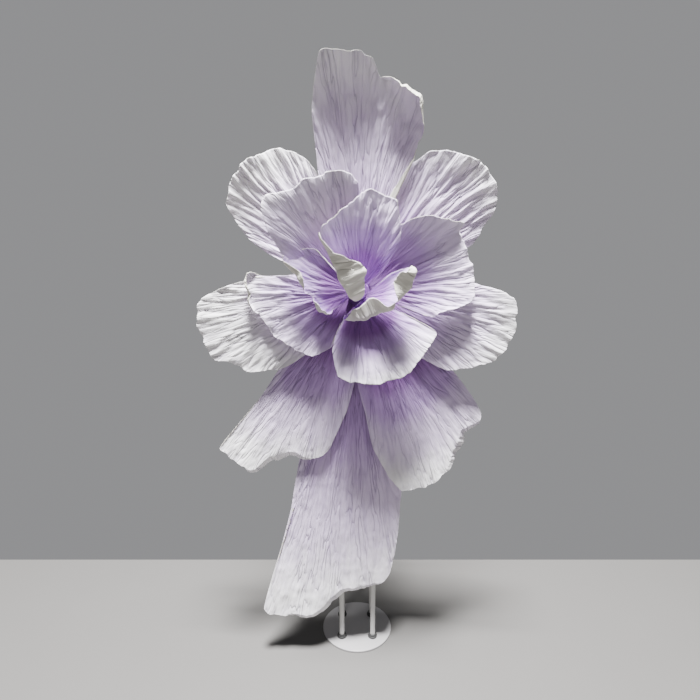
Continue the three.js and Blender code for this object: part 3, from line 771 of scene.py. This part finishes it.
def paper_face_material(paper):
    """The dyed face: violet at the root, lavender, then bare white towards the rim."""
    material, tree, shader = new_material("petal_face", 0.82)
    fibres = group_node(tree, shared_fibre(), on_sheet(tree), Stretch=0.16)
    streak = times(tree, minus(tree, fibres["Streak"], 0.5), 0.12)
    cloud = times(tree, minus(tree, fibres["Mottle"], 0.5), 0.16)
    place = plus(tree, plus(tree, attribute(tree, "bloom"), streak), cloud)
    dye = add_node(tree, "ShaderNodeValToRGB", {0: place})
    dye.color_ramp.interpolation = "EASE"
    stops = dye.color_ramp.elements
    stops[0].position, stops[1].position = 0.0, 1.0
    stops[0].color, stops[1].color = (*paper.root_colour, 1), (*paper.tip_colour, 1)
    for position, colour in ((0.28, paper.blade_colour), (0.62, paper.pale_colour)):
        stops.new(position).color = (*colour, 1)
    # Creases are darkened as painted shade, and the torn rim is left bare of dye.
    crease = times(tree, math_node(tree, "POWER", attribute(tree, "crease"), 5.0), 0.3)
    crease = plus(tree, crease, times(tree, fibres["Crease"], 0.5), clamp=True)
    colour = mix_colour(tree, crease, dye.outputs[0], paper.crease_shade_colour, "MULTIPLY")
    bare = times(tree, ramp(tree, attribute(tree, "edge"), 0.003, 0.0003), 0.2)
    colour = mix_colour(tree, bare, colour, paper.rim_colour)
    link(tree, colour, shader.inputs["Base Color"])
    bump(tree, shader, fibres["Height"], 1.0, 0.0026)
    return material


def paper_back_material(paper):
    """The undyed back, warm off-white, with a little violet come through near the root."""
    material, tree, shader = new_material("petal_back", 0.86)
    fibres = group_node(tree, shared_fibre(), on_sheet(tree), Stretch=0.22)
    through = times(tree, ramp(tree, attribute(tree, "bloom"), 0.45, -0.1), 0.7)
    colour = mix_colour(tree, through, paper.back_colour, paper.pale_colour)
    # The creases are darkened as painted shade.
    colour = mix_colour(tree, times(tree, attribute(tree, "crease"), 0.3), colour, BACK_CREASE_SHADE, "MULTIPLY")
    colour = mix_colour(tree, times(tree, fibres["Mottle"], 0.25), colour, BACK_BLOTCH, "MULTIPLY")
    link(tree, colour, shader.inputs["Base Color"])
    bump(tree, shader, fibres["Height"], 1.0, 0.0032)
    return material


def coated_material(name, colour, dust, roughness, metallic=0.0, grain=400.0, bumpiness=0.15, coat=0.0):
    """A painted, moulded or metal finish with mottle, dust and scuffs, on Object coordinates."""
    material, tree, shader = new_material(name, roughness, metallic)
    shader.inputs["Coat Weight"].default_value = coat
    surface = group_node(tree, shared_wear(), on_object(tree), Grain=grain)
    shade = mix_colour(tree, times(tree, surface["Mottle"], 0.35), colour, dust)
    shade = mix_colour(tree, times(tree, surface["Scuff"], 0.35), shade, dust)
    link(tree, shade, shader.inputs["Base Color"])
    rough = add_node(tree, "ShaderNodeMapRange", {"To Min": roughness - 0.1, "To Max": roughness + 0.15,
                                                  "Value": surface["Mottle"]})
    link(tree, rough.outputs[0], shader.inputs["Roughness"])
    bump(tree, shader, surface["Height"], bumpiness, 0.0005)
    return material


def timber_material(colour, dark):
    """Turned wood: wavy growth lines across the hub, with fine grain."""
    material, tree, shader = new_material("hub_wood", 0.62)
    place = on_object(tree)
    surface = group_node(tree, shared_wear(), place, Grain=700.0)
    rings = add_node(tree, "ShaderNodeTexWave", {"Scale": 60.0, "Distortion": 5.0, "Detail": 3.0,
                                                 "Vector": place}, wave_type="BANDS")
    shade = mix_colour(tree, times(tree, rings.outputs["Fac"], 0.5), colour, dark)
    shade = mix_colour(tree, times(tree, surface["Mottle"], 0.3), shade, dark)
    link(tree, shade, shader.inputs["Base Color"])
    bump(tree, shader, surface["Height"], 0.3, 0.0006)
    return material


def wrap_material(deep, light):
    """Violet paper glued flat over the front of the hub, so dark that it also paints the shade in the heart's
    hollow.
    """
    material, tree, shader = new_material("hub_wrap", 0.85)
    fibres = group_node(tree, shared_fibre(), on_object(tree), Stretch=1.0)
    shade = mix_colour(tree, times(tree, fibres["Mottle"], 0.5), deep, light)
    link(tree, shade, shader.inputs["Base Color"])
    bump(tree, shader, fibres["Height"], 1.0, 0.0016)
    return material


# ---------------------------------------------------------------- plain mesh helpers


def place_piece(name, mesh, replaced, materials=()):
    """Links a finished mesh as a piece of the flower, standing for the CAD nodes named."""
    for material in materials:
        mesh.materials.append(material)
    piece = bpy.data.objects.new(name, mesh)
    bpy.context.scene.collection.objects.link(piece)
    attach(piece, BODY)
    if replaced:
        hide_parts(*replaced)
    return piece


def lathe_mesh(name, profile, centre, axis="Z", segments=64):
    """A turned solid. The profile is (radius, height) in metres and starts and ends on the axis,
    or it closes on itself when its first point comes again at its end."""
    ring = profile[0] == profile[-1]
    outline = profile[:-1] if ring else profile
    angles = np.linspace(0, 2 * math.pi, segments, endpoint=False)
    points, index = [], []
    for radius, height in outline:
        if radius < 1e-7:
            index.append([len(points)] * segments)
            points.append((0, 0, height))
        else:
            index.append(list(range(len(points), len(points) + segments)))
            points.extend((radius * math.cos(a), radius * math.sin(a), height) for a in angles)
    faces = []
    spans = list(zip(index, index[1:])) + ([(index[-1], index[0])] if ring else [])
    for low, high in spans:
        for i in range(segments):
            j = (i + 1) % segments
            corners = [low[i], low[j], high[j], high[i]]
            face = list(dict.fromkeys(corners))
            if len(face) > 2:
                faces.append(face)
    if axis == "Y":
        points = [(x, -z, y) for x, y, z in points]
    mesh = bpy.data.meshes.new(name)
    mesh.from_pydata([tuple(np.add(p, centre)) for p in points], [], faces)
    mesh.shade_smooth()
    return mesh


def rounded_profile(corners, radius, steps=5):
    """Rounds each corner of a (radius, height) profile that is off the axis, with a flat strip beside it."""
    result = [corners[0]]
    for before, corner, after in zip(corners, corners[1:], corners[2:]):
        a, b, c = (np.array(p, float) for p in (before, corner, after))
        to_a, to_c = a - b, c - b
        room = min(np.linalg.norm(to_a), np.linalg.norm(to_c)) / 2  # so that neighbouring corners don't meet
        to_a, to_c = to_a / np.linalg.norm(to_a), to_c / np.linalg.norm(to_c)
        reach = min(radius, room * 0.7)
        flat = reach * 1.3  # outer end of the strip that keeps the shading of the flat wall even
        result.append(tuple(b + to_a * flat))
        for step in range(steps + 1):
            t = step / steps
            curve = (1 - t) ** 2 * to_a + t ** 2 * to_c
            result.append(tuple(b + curve * reach))
        result.append(tuple(b + to_c * flat))
    return result + [corners[-1]]


def ring_profile(corners, radius):
    """A tube's profile with its outer corners rounded, closed on itself."""
    outside = rounded_profile(corners, radius)
    return outside + [outside[0]]


def slab_mesh(name, low, high, axis, corner, edge, hole=0.0):
    """A plate with rounded corners and eased edges, flat across one axis, with or without a round hole."""
    across = [i for i in range(3) if i != axis]
    if axis == 1:
        across.reverse()
    centre = (Vector(low) + Vector(high)) / 2
    half = [(high[i] - low[i]) / 2 for i in across]
    thick = (high[axis] - low[axis]) / 2
    turns = np.linspace(0, 2 * math.pi, SLAB_SEGMENTS, endpoint=False)

    def outline(inset):
        box = [size - corner for size in half]
        return [(math.copysign(box[0], math.cos(t)) + math.cos(t) * (corner - inset),
                 math.copysign(box[1], math.sin(t)) + math.sin(t) * (corner - inset)) for t in turns]

    def circle(radius):
        return [(radius * math.cos(t), radius * math.sin(t)) for t in turns]

    bend_at = edge * BEVEL_STEP
    loops = [(outline(edge), -thick), (outline(bend_at), -thick + bend_at), (outline(0), -thick + edge),
             (outline(0), thick - edge), (outline(bend_at), thick - bend_at), (outline(edge), thick)]
    if hole:
        loops += [(circle(hole), thick), (circle(hole), -thick)]
    count = len(turns)
    points = []
    for loop, level in loops:
        for u, v in loop:
            point = [0.0, 0.0, 0.0]
            point[across[0]], point[across[1]], point[axis] = u, v, level
            points.append(Vector(point) + centre)
    spans = list(zip(range(len(loops)), range(1, len(loops)))) + ([(len(loops) - 1, 0)] if hole else [])
    faces = [(a * count + i, a * count + (i + 1) % count, b * count + (i + 1) % count, b * count + i)
             for a, b in spans for i in range(count)]
    if not hole:
        faces += [tuple(range(count))[::-1], tuple(range((len(loops) - 1) * count, len(loops) * count))]
    mesh = bpy.data.meshes.new(name)
    mesh.from_pydata(points, [], faces)
    mesh.shade_smooth()
    mesh.set_sharp_from_angle(angle=math.radians(30))
    return mesh


# ---------------------------------------------------------------- settings


class PaperSettings(bpy.types.PropertyGroup):
    thickness: FloatProperty(name="Paper thickness", description="Thickness of the two-ply sheet",
                             default=0.0009, min=0.0003, max=0.002, unit="LENGTH")
    pleat_scale: FloatProperty(name="Pleat depth", description="Share of each petal's own pleat depth",
                               default=1.0, min=0.0, max=2.0, subtype="FACTOR")
    pleat_width: FloatProperty(name="Pleat width", description="Spacing of the gathers at the rim",
                               default=0.019, min=0.004, max=0.04, unit="LENGTH")
    fold_depth: FloatProperty(name="Fold depth", description="Depth of the broad waves of a sheet",
                              default=0.012, min=0.0, max=0.04, unit="LENGTH")
    fold_width: FloatProperty(name="Fold width", description="Width of the broad waves at the rim",
                              default=0.08, min=0.02, max=0.3, unit="LENGTH")
    crumple_size: FloatProperty(name="Crumple size", description="Size of the facets between creases",
                                default=0.05, min=0.02, max=0.3, unit="LENGTH")
    seed: IntProperty(name="Seed", description="Changes every crease and torn edge", default=7, min=0)
    root_colour: FloatVectorProperty(name="Root", description="Dye at the root of a petal",
                                     default=(0.25, 0.10, 0.36), subtype="COLOR", min=0, max=1)
    blade_colour: FloatVectorProperty(name="Blade", description="Dye along the middle of a petal",
                                      default=(0.48, 0.31, 0.64), subtype="COLOR", min=0, max=1)
    pale_colour: FloatVectorProperty(name="Pale", description="Where the dye is thin",
                                     default=(0.73, 0.61, 0.84), subtype="COLOR", min=0, max=1)
    tip_colour: FloatVectorProperty(name="Tip", description="Undyed paper at the tip",
                                    default=(0.88, 0.86, 0.88), subtype="COLOR", min=0, max=1)
    # Painted shade in the creases: this colour is multiplied into the dye along them.
    crease_shade_colour: FloatVectorProperty(name="Crease", description="Tint of the dye held in creases",
                                       default=(0.30, 0.25, 0.38), subtype="COLOR", min=0, max=1)
    rim_colour: FloatVectorProperty(name="Torn rim", description="Fibres along the torn edge",
                                    default=(0.90, 0.89, 0.87), subtype="COLOR", min=0, max=1)
    back_colour: FloatVectorProperty(name="Back", description="Undyed back of the paper",
                                     default=(0.74, 0.72, 0.66), subtype="COLOR", min=0, max=1)


class RibSettings(bpy.types.PropertyGroup):
    diameter: FloatProperty(name="Wire diameter", description="Diameter over the tape",
                            default=0.004, min=0.001, max=0.01, unit="LENGTH")
    tape_turn: FloatProperty(name="Tape turn", description="Length of one turn of tape",
                             default=0.012, min=0.004, max=0.04, unit="LENGTH")
    tape_colour: FloatVectorProperty(name="Tape", description="Paper tape round the wire",
                                     default=(0.72, 0.70, 0.66), subtype="COLOR", min=0, max=1)


class HubSettings(bpy.types.PropertyGroup):
    wood_colour: FloatVectorProperty(name="Wood", description="Turned wood of the hub",
                                     default=(0.55, 0.38, 0.22), subtype="COLOR", min=0, max=1)
    grain_colour: FloatVectorProperty(name="Grain", description="Dark lines of the wood",
                                      default=(0.30, 0.18, 0.09), subtype="COLOR", min=0, max=1)
    # Violet paper over the hub, dark enough to paint the shade deep in the heart's hollow.
    wrap_and_shade_colour: FloatVectorProperty(name="Wrap", description="Violet paper over the front of the hub",
                                     default=(0.13, 0.04, 0.22), subtype="COLOR", min=0, max=1)
    bolt_colour: FloatVectorProperty(name="Bolt", description="Plated steel",
                                     default=(0.62, 0.62, 0.63), subtype="COLOR", min=0, max=1)
    edge: FloatProperty(name="Hub edge", description="Rounding of the hub's turned edges",
                        default=0.0015, min=0.0002, max=0.004, unit="LENGTH")


class StandSettings(bpy.types.PropertyGroup):
    # The stand's white paint is greyed down as painted shade of the flower's shadow over the stand.
    shaded_paint_colour: FloatVectorProperty(name="Post paint", description="Gloss paint of posts and board",
                                      default=(0.58, 0.575, 0.57), subtype="COLOR", min=0, max=1)
    plate_colour: FloatVectorProperty(name="Plate paint", description="Satin paint of the base plate",
                                      default=(0.46, 0.45, 0.47), subtype="COLOR", min=0, max=1)
    collar_colour: FloatVectorProperty(name="Collar", description="Rubber of the foot collars",
                                       default=(0.02, 0.02, 0.022), subtype="COLOR", min=0, max=1)
    plate_edge: FloatProperty(name="Plate edge", description="Rounding of the base plate's rim",
                              default=0.003, min=0.0005, max=0.004, unit="LENGTH")
    collar_lip: FloatProperty(name="Collar lip", description="How far the collar's neck is set in",
                              default=0.003, min=0.0005, max=0.005, unit="LENGTH")
    corner: FloatProperty(name="Plate corner", description="Corner radius of the head plate",
                          default=0.010, min=0.001, max=0.03, unit="LENGTH")
    bead: FloatProperty(name="Weld bead", description="Radius of one bead of the welds",
                        default=0.0022, min=0.0005, max=0.004, unit="LENGTH")


class StageSettings(bpy.types.PropertyGroup):
    floor_colour: FloatVectorProperty(name="Floor", description="Plain floor",
                                      default=(0.15, 0.145, 0.14), subtype="COLOR", min=0, max=1)
    wall_colour: FloatVectorProperty(name="Background", description="Plain background",
                                     default=(0.30, 0.30, 0.31), subtype="COLOR", min=0, max=1)
    fill_share: FloatProperty(name="Background fill", description="Share of it that lights the flower",
                              default=0.5, min=0, max=1, subtype="FACTOR")
    key_power: FloatProperty(name="Key light", description="Power of the overhead soft light, in watts",
                             default=1750.0, min=0)
    fill_power: FloatProperty(name="Fill light", description="Power of the front fill light, in watts",
                              default=2.0, min=0)


SETTINGS = {
    "flower_paper": PaperSettings,
    "flower_ribs": RibSettings,
    "flower_hub": HubSettings,
    "flower_stand": StandSettings,
    "flower_stage": StageSettings,
}


# ---------------------------------------------------------------- petals and ribs


def thickened(name, mesh, thickness):
    """Closes an open grid mesh into a sheet: its front, its back, and a strip round the edge."""
    count = len(mesh.vertices)
    front = np.empty(count * 3)
    mesh.vertices.foreach_get("co", front)
    front = front.reshape(-1, 3)
    normals = np.empty(count * 3, np.float32)
    mesh.vertex_normals.foreach_get("vector", normals)
    normals = normals.reshape(-1, 3).astype(float)
    quads = np.empty(len(mesh.polygons) * 4, int)
    mesh.loops.foreach_get("vertex_index", quads)
    quads = quads.reshape(-1, 4)
    sides = np.concatenate([quads[:, [i, (i + 1) % 4]] for i in range(4)])
    keys = np.sort(sides, 1) @ np.array([count, 1])
    _, first, uses = np.unique(keys, return_index=True, return_counts=True)
    rim = sides[first[uses == 1]]
    strip = np.stack([rim[:, 1], rim[:, 0], rim[:, 0] + count, rim[:, 1] + count], 1)
    points = np.vstack([front + normals * thickness / 2, front - normals * thickness / 2])
    faces = np.vstack([quads, quads[:, ::-1] + count, strip])
    result = bpy.data.meshes.new(name)
    result.from_pydata(points.tolist(), [], faces.tolist())
    for label in ("bloom", "crease", "edge"):
        values = np.empty(count, np.float32)
        mesh.attributes[label].data.foreach_get("value", values)
        target = result.attributes.new(label, "FLOAT", "POINT")
        target.data.foreach_set("value", np.tile(values, 2))
    flat = []
    for label in ("across", "along"):
        values = np.empty(count, np.float32)
        mesh.attributes[label].data.foreach_get("value", values)
        flat.append(np.tile(values, 2))
    corner = np.empty(len(result.loops), int)
    result.loops.foreach_get("vertex_index", corner)
    sheet_uv = result.uv_layers.new(name="sheet")
    sheet_uv.data.foreach_set("uv", np.stack(flat, 1)[corner].astype(np.float32).ravel())
    side = np.r_[np.zeros(len(quads), int), np.ones(len(quads) + len(strip), int)]
    result.polygons.foreach_set("material_index", side)
    result.shade_smooth()
    return result


def petal_seed(paper, name):
    return paper.seed + 13 * list(PETALS).index(name)


def bloom_of(petal, sheet):
    """0 at the root's full dye, 1 where the paper is bare."""
    start, end = petal.dye
    low = start - DYE_REACH * (end - start)
    return ((sheet.reach - low) / (end - low)).astype(np.float32)


class MakePetals(bpy.types.Operator):
    """Cut, crinkle and hang the sixteen petals"""
    bl_idname = "flower.make_petals"
    bl_label = "Petals"

    def execute(self, context):
        paper = context.scene.flower_paper
        face, back = paper_face_material(paper), paper_back_material(paper)
        tree = crinkle_tree()
        for name, petal in PETALS.items():
            sheet = sheet_grid(petal, petal_seed(paper, name))
            flat = grid_mesh(name, sheet)
            flat.attributes.new("bloom", "FLOAT", "POINT").data.foreach_set(
                "value", bloom_of(petal, sheet).ravel())
            crinkled = with_tree(
                name, flat, tree, Fold_depth=paper.fold_depth, Fold_width=paper.fold_width,
                Pleat_depth=petal.pleat * MM * paper.pleat_scale, Pleat_width=paper.pleat_width,
                Crumple_depth=petal.crumple * MM, Crumple_size=paper.crumple_size,
                Seed=petal_seed(paper, name), Material=face)
            mesh = thickened("petal_" + name, crinkled, paper.thickness)
            mesh["rows"], mesh["columns"] = sheet.reach.shape
            place_piece("paper_" + name, mesh, ["petal_" + name], (face, back))
        return {"FINISHED"}


def rib_line(mesh, diameter):
    """The wire's middle line: down the back of the sheet, clear of its deepest folds."""
    count = len(mesh.vertices) // 2
    rows, columns = mesh["rows"], mesh["columns"]
    points = np.empty(count * 6)
    mesh.vertices.foreach_get("co", points)
    back = points.reshape(2, rows, columns, 3)[1]
    middle = columns // 2
    reach = max(2, columns // 60)
    end = int(rows * RIB_LENGTH)
    strip = back[:end, middle - reach:middle + reach + 1]
    line = strip.mean(1)
    deepest = strip[:, :, 1].max(1)
    margin = RIB_WINDOW // 2
    padded = np.pad(deepest, margin, mode="edge")
    clear = np.lib.stride_tricks.sliding_window_view(padded, RIB_WINDOW).max(1)
    even = np.ones(RIB_WINDOW) / RIB_WINDOW
    smooth = np.convolve(np.pad(clear, margin, mode="edge"), even, "valid")
    line[:, 1] = np.maximum(smooth, clear) + diameter / 2 + RIB_CLEARANCE
    return line[::RIB_STRIDE] if len(line) > 4 * RIB_STRIDE else line


class MakeRibs(bpy.types.Operator):
    """Bend and bind the wire rib behind each petal"""
    bl_idname = "flower.make_ribs"
    bl_label = "Ribs"

    def execute(self, context):
        ribs = context.scene.flower_ribs
        tape = coated_material("rib_tape", ribs.tape_colour, DUST, 0.85)
        tree = bound_wire_tree()
        for name in PETALS:
            line = rib_line(bpy.data.objects["paper_" + name].data, ribs.diameter)
            curve = bpy.data.curves.new(name, "CURVE")
            curve.dimensions = "3D"
            spline = curve.splines.new("POLY")
            spline.points.add(len(line) - 1)
            spline.points.foreach_set("co", np.c_[line, np.ones(len(line))].ravel())
            mesh = with_tree("rib_wire_" + name, curve, tree, Diameter=ribs.diameter,
                             Tape_turn=ribs.tape_turn, Material=tape)
            mesh.shade_smooth()
            place_piece("rib_wire_" + name, mesh, ["rib_" + name])
        return {"FINISHED"}


# ---------------------------------------------------------------- hub and stand


CORNERS = ("front_left", "front_right", "rear_left", "rear_right")


def middle_of(low, high):
    return (low.x + high.x) / 2, (low.y + high.y) / 2


def post_radius(corner):
    low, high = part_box("post_" + corner)
    return high.x - middle_of(low, high)[0]


def stand_paint(stand):
    """The posts' gloss paint, greyed as painted shade, shared by every painted part of the frame."""
    return bpy.data.materials.get("stand_gloss") or coated_material(
        "stand_gloss", stand.shaded_paint_colour, DUST, 0.3, coat=0.5)


class MakeHub(bpy.types.Operator):
    """Turn the stepped hub and cover its front in violet paper"""
    bl_idname = "flower.make_hub"
    bl_label = "Hub"

    def execute(self, context):
        hub = context.scene.flower_hub
        depth = HUB_HIGH.y - HUB_LOW.y
        scale = (HUB_HIGH.x - HUB_LOW.x) / 2 / DRUM_RADII[0]
        radii = [radius * scale for radius in DRUM_RADII]
        bore_depth = HUB_HIGH.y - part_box("hub_bolt")[0].y + FIT
        outline, behind = [(BOLT_BORE, 0)], 0
        for radius, share in zip(radii, DRUM_FRONTS):
            outline += [(radius, behind), (radius, share * depth)]
            behind = share * depth
        outline.append((0, depth))
        profile = [(0, bore_depth), (BOLT_BORE, bore_depth)] + rounded_profile(outline, hub.edge)
        mesh = lathe_mesh("hub_core", profile, HUB_BACK, "Y", segments=96)
        mesh.materials.append(timber_material(hub.wood_colour, hub.grain_colour))
        mesh.materials.append(wrap_material(hub.wrap_and_shade_colour, context.scene.flower_paper.root_colour))
        for face in mesh.polygons:
            outside = math.hypot(face.center.x - HUB_BACK.x, face.center.z - HUB_BACK.z) > 2 * BOLT_BORE
            covered = face.center.y < HUB_BACK.y - hub.edge * 2
            ahead = face.center.y < HUB_BACK.y - bore_depth - 0.002
            face.material_index = 1 if (outside and covered) or ahead else 0
        place_piece("hub_core", mesh, ["hub"])
        return {"FINISHED"}


class MakeBolt(bpy.types.Operator):
    """Make the bolt that holds the hub to the board"""
    bl_idname = "flower.make_bolt"
    bl_label = "Bolt"

    def execute(self, context):
        low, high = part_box("hub_bolt")
        radius = (high.x - low.x) / 2
        under_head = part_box("mounting_board")[1].y
        head = high.y - under_head
        recess = radius * 0.35
        start = HUB_BACK.y - high.y
        seat = HUB_BACK.y - under_head
        tip = HUB_BACK.y - low.y
        # A low domed head with a round recess, its flat seat, and the shank.
        outline = [(0, start + head * 0.6), (recess, start + head * 0.6), (recess, start),
                   (radius * 0.7, start), (radius, start + head * 0.5), (radius, seat),
                   (BOLT_SHANK, seat), (BOLT_SHANK, tip), (0, tip)]
        mesh = lathe_mesh("carriage_bolt", rounded_profile(outline, BOLT_EDGE), HUB_BACK, "Y", segments=48)
        plated = coated_material("bolt_plating", context.scene.flower_hub.bolt_colour, DUST, 0.3, 0.9)
        place_piece("carriage_bolt", mesh, ["hub_bolt"], (plated,))
        return {"FINISHED"}


class MakeBoard(bpy.types.Operator):
    """Make the board that carries the hub"""
    bl_idname = "flower.make_board"
    bl_label = "Board"

    def execute(self, context):
        low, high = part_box("mounting_board")
        mesh = slab_mesh("hub_board", low, high, 1, BOARD_CORNER, PLATE_EDGE, hole=BOLT_BORE)
        place_piece("hub_board", mesh, ["mounting_board"],
                    (stand_paint(context.scene.flower_stand),))
        return {"FINISHED"}


class MakeClamps(bpy.types.Operator):
    """Make the four clamps that hold the board to the front posts"""
    bl_idname = "flower.make_clamps"
    bl_label = "Clamps"

    def execute(self, context):
        bore = post_radius("front_left") + FIT
        for level in ("upper", "lower"):
            for side in ("left", "right"):
                node = f"clamp_{level}_{side}"
                low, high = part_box(node)
                mesh = slab_mesh("post_" + node, low, high, 2, CLAMP_CORNER, CLAMP_EDGE, hole=bore)
                place_piece("post_" + node, mesh, [node],
                            (stand_paint(context.scene.flower_stand),))
        return {"FINISHED"}


class MakeBasePlate(bpy.types.Operator):
    """Spin the round base plate"""
    bl_idname = "flower.make_base_plate"
    bl_label = "Base plate"

    def execute(self, context):
        stand = context.scene.flower_stand
        low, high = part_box("base_plate")
        radius, top = high.x - middle_of(low, high)[0], high.z
        outline = [(0, low.z), (radius, low.z), (radius, top), (0, top)]
        mesh = lathe_mesh("round_foot", rounded_profile(outline, stand.plate_edge, 7),
                          (*middle_of(low, high), 0), segments=160)
        satin = coated_material("plate_satin", stand.plate_colour, DUST, 0.32, coat=0.25)
        place_piece("round_foot", mesh, ["base_plate"], (satin,))
        return {"FINISHED"}


class MakePosts(bpy.types.Operator):
    """Draw the four round tube posts"""
    bl_idname = "flower.make_posts"
    bl_label = "Posts"

    def execute(self, context):
        for corner in CORNERS:
            low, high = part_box("post_" + corner)
            x, y = middle_of(low, high)
            outer = post_radius(corner)
            wall = [(outer - POST_WALL, low.z), (outer, low.z), (outer, high.z), (outer - POST_WALL, high.z)]
            mesh = lathe_mesh("tube_" + corner, ring_profile(wall, POST_EDGE), (x, y, 0), segments=48)
            place_piece("tube_" + corner, mesh, ["post_" + corner],
                        (stand_paint(context.scene.flower_stand),))
        return {"FINISHED"}


class MakeCollars(bpy.types.Operator):
    """Mould the four rubber foot collars"""
    bl_idname = "flower.make_collars"
    bl_label = "Foot collars"

    def execute(self, context):
        stand = context.scene.flower_stand
        rubber = coated_material("collar_moulding", stand.collar_colour, RUBBER_DUST, 0.6)
        for corner in CORNERS:
            low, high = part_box("foot_collar_" + corner)
            x, y = middle_of(low, high)
            inner = post_radius(corner) + FIT
            outer, tall = high.x - x, high.z - low.z
            neck = outer - stand.collar_lip
            outline = [(inner, low.z), (outer, low.z), (outer, low.z + tall * 0.4),
                       (neck, low.z + tall * 0.55), (neck, high.z), (inner, high.z)]
            mesh = lathe_mesh("collar_" + corner, ring_profile(outline, COLLAR_EDGE), (x, y, 0), segments=48)
            place_piece("collar_" + corner, mesh, ["foot_collar_" + corner], (rubber,))
        return {"FINISHED"}


class MakeHeadPlate(bpy.types.Operator):
    """Cut the head plate and weld it to the four posts"""
    bl_idname = "flower.make_head_plate"
    bl_label = "Head plate and welds"

    def execute(self, context):
        stand = context.scene.flower_stand
        paint = stand_paint(stand)
        low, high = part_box("head_plate")
        mesh = slab_mesh("top_plate", low, high, 2, stand.corner, PLATE_EDGE)
        place_piece("top_plate", mesh, ["head_plate"], (paint,))
        curve = bpy.data.curves.new("welds", "CURVE")
        curve.dimensions = "3D"
        turns = np.linspace(0, 2 * math.pi, WELD_POINTS, endpoint=False)
        for corner in CORNERS:
            x, y = middle_of(*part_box("post_" + corner))
            radius = post_radius(corner) + stand.bead * 0.5
            level = low.z - stand.bead * 0.5
            ring = [(x + radius * math.cos(t), y + radius * math.sin(t), level, 1) for t in turns]
            spline = curve.splines.new("POLY")
            spline.use_cyclic_u = True
            spline.points.add(len(ring) - 1)
            spline.points.foreach_set("co", np.array(ring).ravel())
        welds = with_tree("top_welds", curve, weld_tree(), Bead_size=stand.bead,
                          Spacing=stand.bead * WELD_LAP, Material=paint)
        welds.shade_smooth()
        place_piece("top_welds", welds, ())
        return {"FINISHED"}


# ---------------------------------------------------------------- stage


class MakeStage(bpy.types.Operator):
    """Set the floor, background, lights and camera"""
    bl_idname = "flower.make_stage"
    bl_label = "Stage"

    def execute(self, context):
        stage = context.scene.flower_stage
        self.camera(context)
        self.floor(stage)
        self.background(context, stage)
        self.lights(stage)
        return {"FINISHED"}

    def camera(self, context):
        """Eye height and distance of someone looking slightly down at the flower."""
        data = bpy.data.cameras.new("Camera")
        data.sensor_width = 36.0
        data.lens = LENS
        camera = bpy.data.objects.new("Camera", data)
        camera.location = EYE
        camera.rotation_euler = (math.radians(90 - TILT), 0, 0)
        context.scene.collection.objects.link(camera)
        context.scene.camera = camera

    def floor(self, stage):
        """A pale floor whose far edge is close behind the stand."""
        material, tree, shader = new_material("floor_plain", 0.6)
        cloud = noise(tree, on_object(tree), 3.0, 4.0, 0.6)
        colour = mix_colour(tree, times(tree, cloud, 0.3), stage.floor_colour,
                            tuple(c * 0.8 for c in stage.floor_colour))
        link(tree, colour, shader.inputs["Base Color"])
        mesh = bpy.data.meshes.new("floor")
        corners = [(x, y, z) for z in (-FLOOR_DEPTH, 0) for x, y in
                   ((-FLOOR_SIDE, FLOOR_FRONT), (FLOOR_SIDE, FLOOR_FRONT),
                    (FLOOR_SIDE, FLOOR_BACK), (-FLOOR_SIDE, FLOOR_BACK))]
        faces = [(3, 2, 1, 0), (4, 5, 6, 7), (0, 1, 5, 4), (1, 2, 6, 5), (2, 3, 7, 6), (3, 0, 4, 7)]
        mesh.from_pydata(corners, [], faces)
        mesh.materials.append(material)
        floor = bpy.data.objects.new("floor", mesh)
        bpy.context.scene.collection.objects.link(floor)

    def background(self, context, stage):
        world = bpy.data.worlds.new("Background")
        world.use_nodes = True
        tree = world.node_tree
        glow = tree.nodes["Background"]
        glow.inputs["Color"].default_value = (*stage.wall_colour, 1)
        # The wall is seen at full brightness, but fills the shadows less.
        seen = add_node(tree, "ShaderNodeLightPath").outputs["Is Camera Ray"]
        strength = add_node(tree, "ShaderNodeMapRange", {"To Min": stage.fill_share, "Value": seen})
        link(tree, strength.outputs[0], glow.inputs["Strength"])
        context.scene.world = world

    def lights(self, stage):
        for name, power, size, place, target in (
                ("Key", stage.key_power, 0.9, (-0.1, -1.05, 5.3), (0, -0.1, 1.2)),
                ("Fill", stage.fill_power, 2.0, (0.6, -3.2, 1.8), (0, 0, 1.1)),
        ):
            data = bpy.data.lights.new(name, "AREA")
            data.energy = power
            data.size = size
            light = bpy.data.objects.new(name, data)
            light.location = place
            light.rotation_euler = (Vector(target) - Vector(place)).to_track_quat("-Z", "Y").to_euler()
            bpy.context.scene.collection.objects.link(light)


class FlowerPanel(bpy.types.Panel):
    """Lists the makers and their settings"""
    bl_idname = "FLOWER_PT_makers"
    bl_label = "Giant paper flower"
    bl_space_type = "VIEW_3D"
    bl_region_type = "UI"
    bl_category = "Paper flower"

    def draw(self, context):
        for maker in MAKERS:
            self.layout.operator(maker.bl_idname)
        for key, settings in SETTINGS.items():
            box = self.layout.box()
            for name in settings.__annotations__:
                box.prop(getattr(context.scene, key), name)


MAKERS = (MakeStage, MakePetals, MakeRibs, MakeHub, MakeBolt, MakeBoard, MakeClamps, MakeBasePlate, MakePosts,
          MakeCollars, MakeHeadPlate)
CLASSES = (*SETTINGS.values(), *MAKERS, FlowerPanel)


def register():
    for cls in CLASSES:
        bpy.utils.register_class(cls)
    for key, settings in SETTINGS.items():
        setattr(bpy.types.Scene, key, PointerProperty(type=settings))


def unregister():
    for key in SETTINGS:
        delattr(bpy.types.Scene, key)
    for cls in reversed(CLASSES):
        bpy.utils.unregister_class(cls)


def main():
    register()
    for maker in MAKERS:
        group, name = maker.bl_idname.split(".")
        getattr(getattr(bpy.ops, group), name)()


if __name__ == "__main__":
    main()
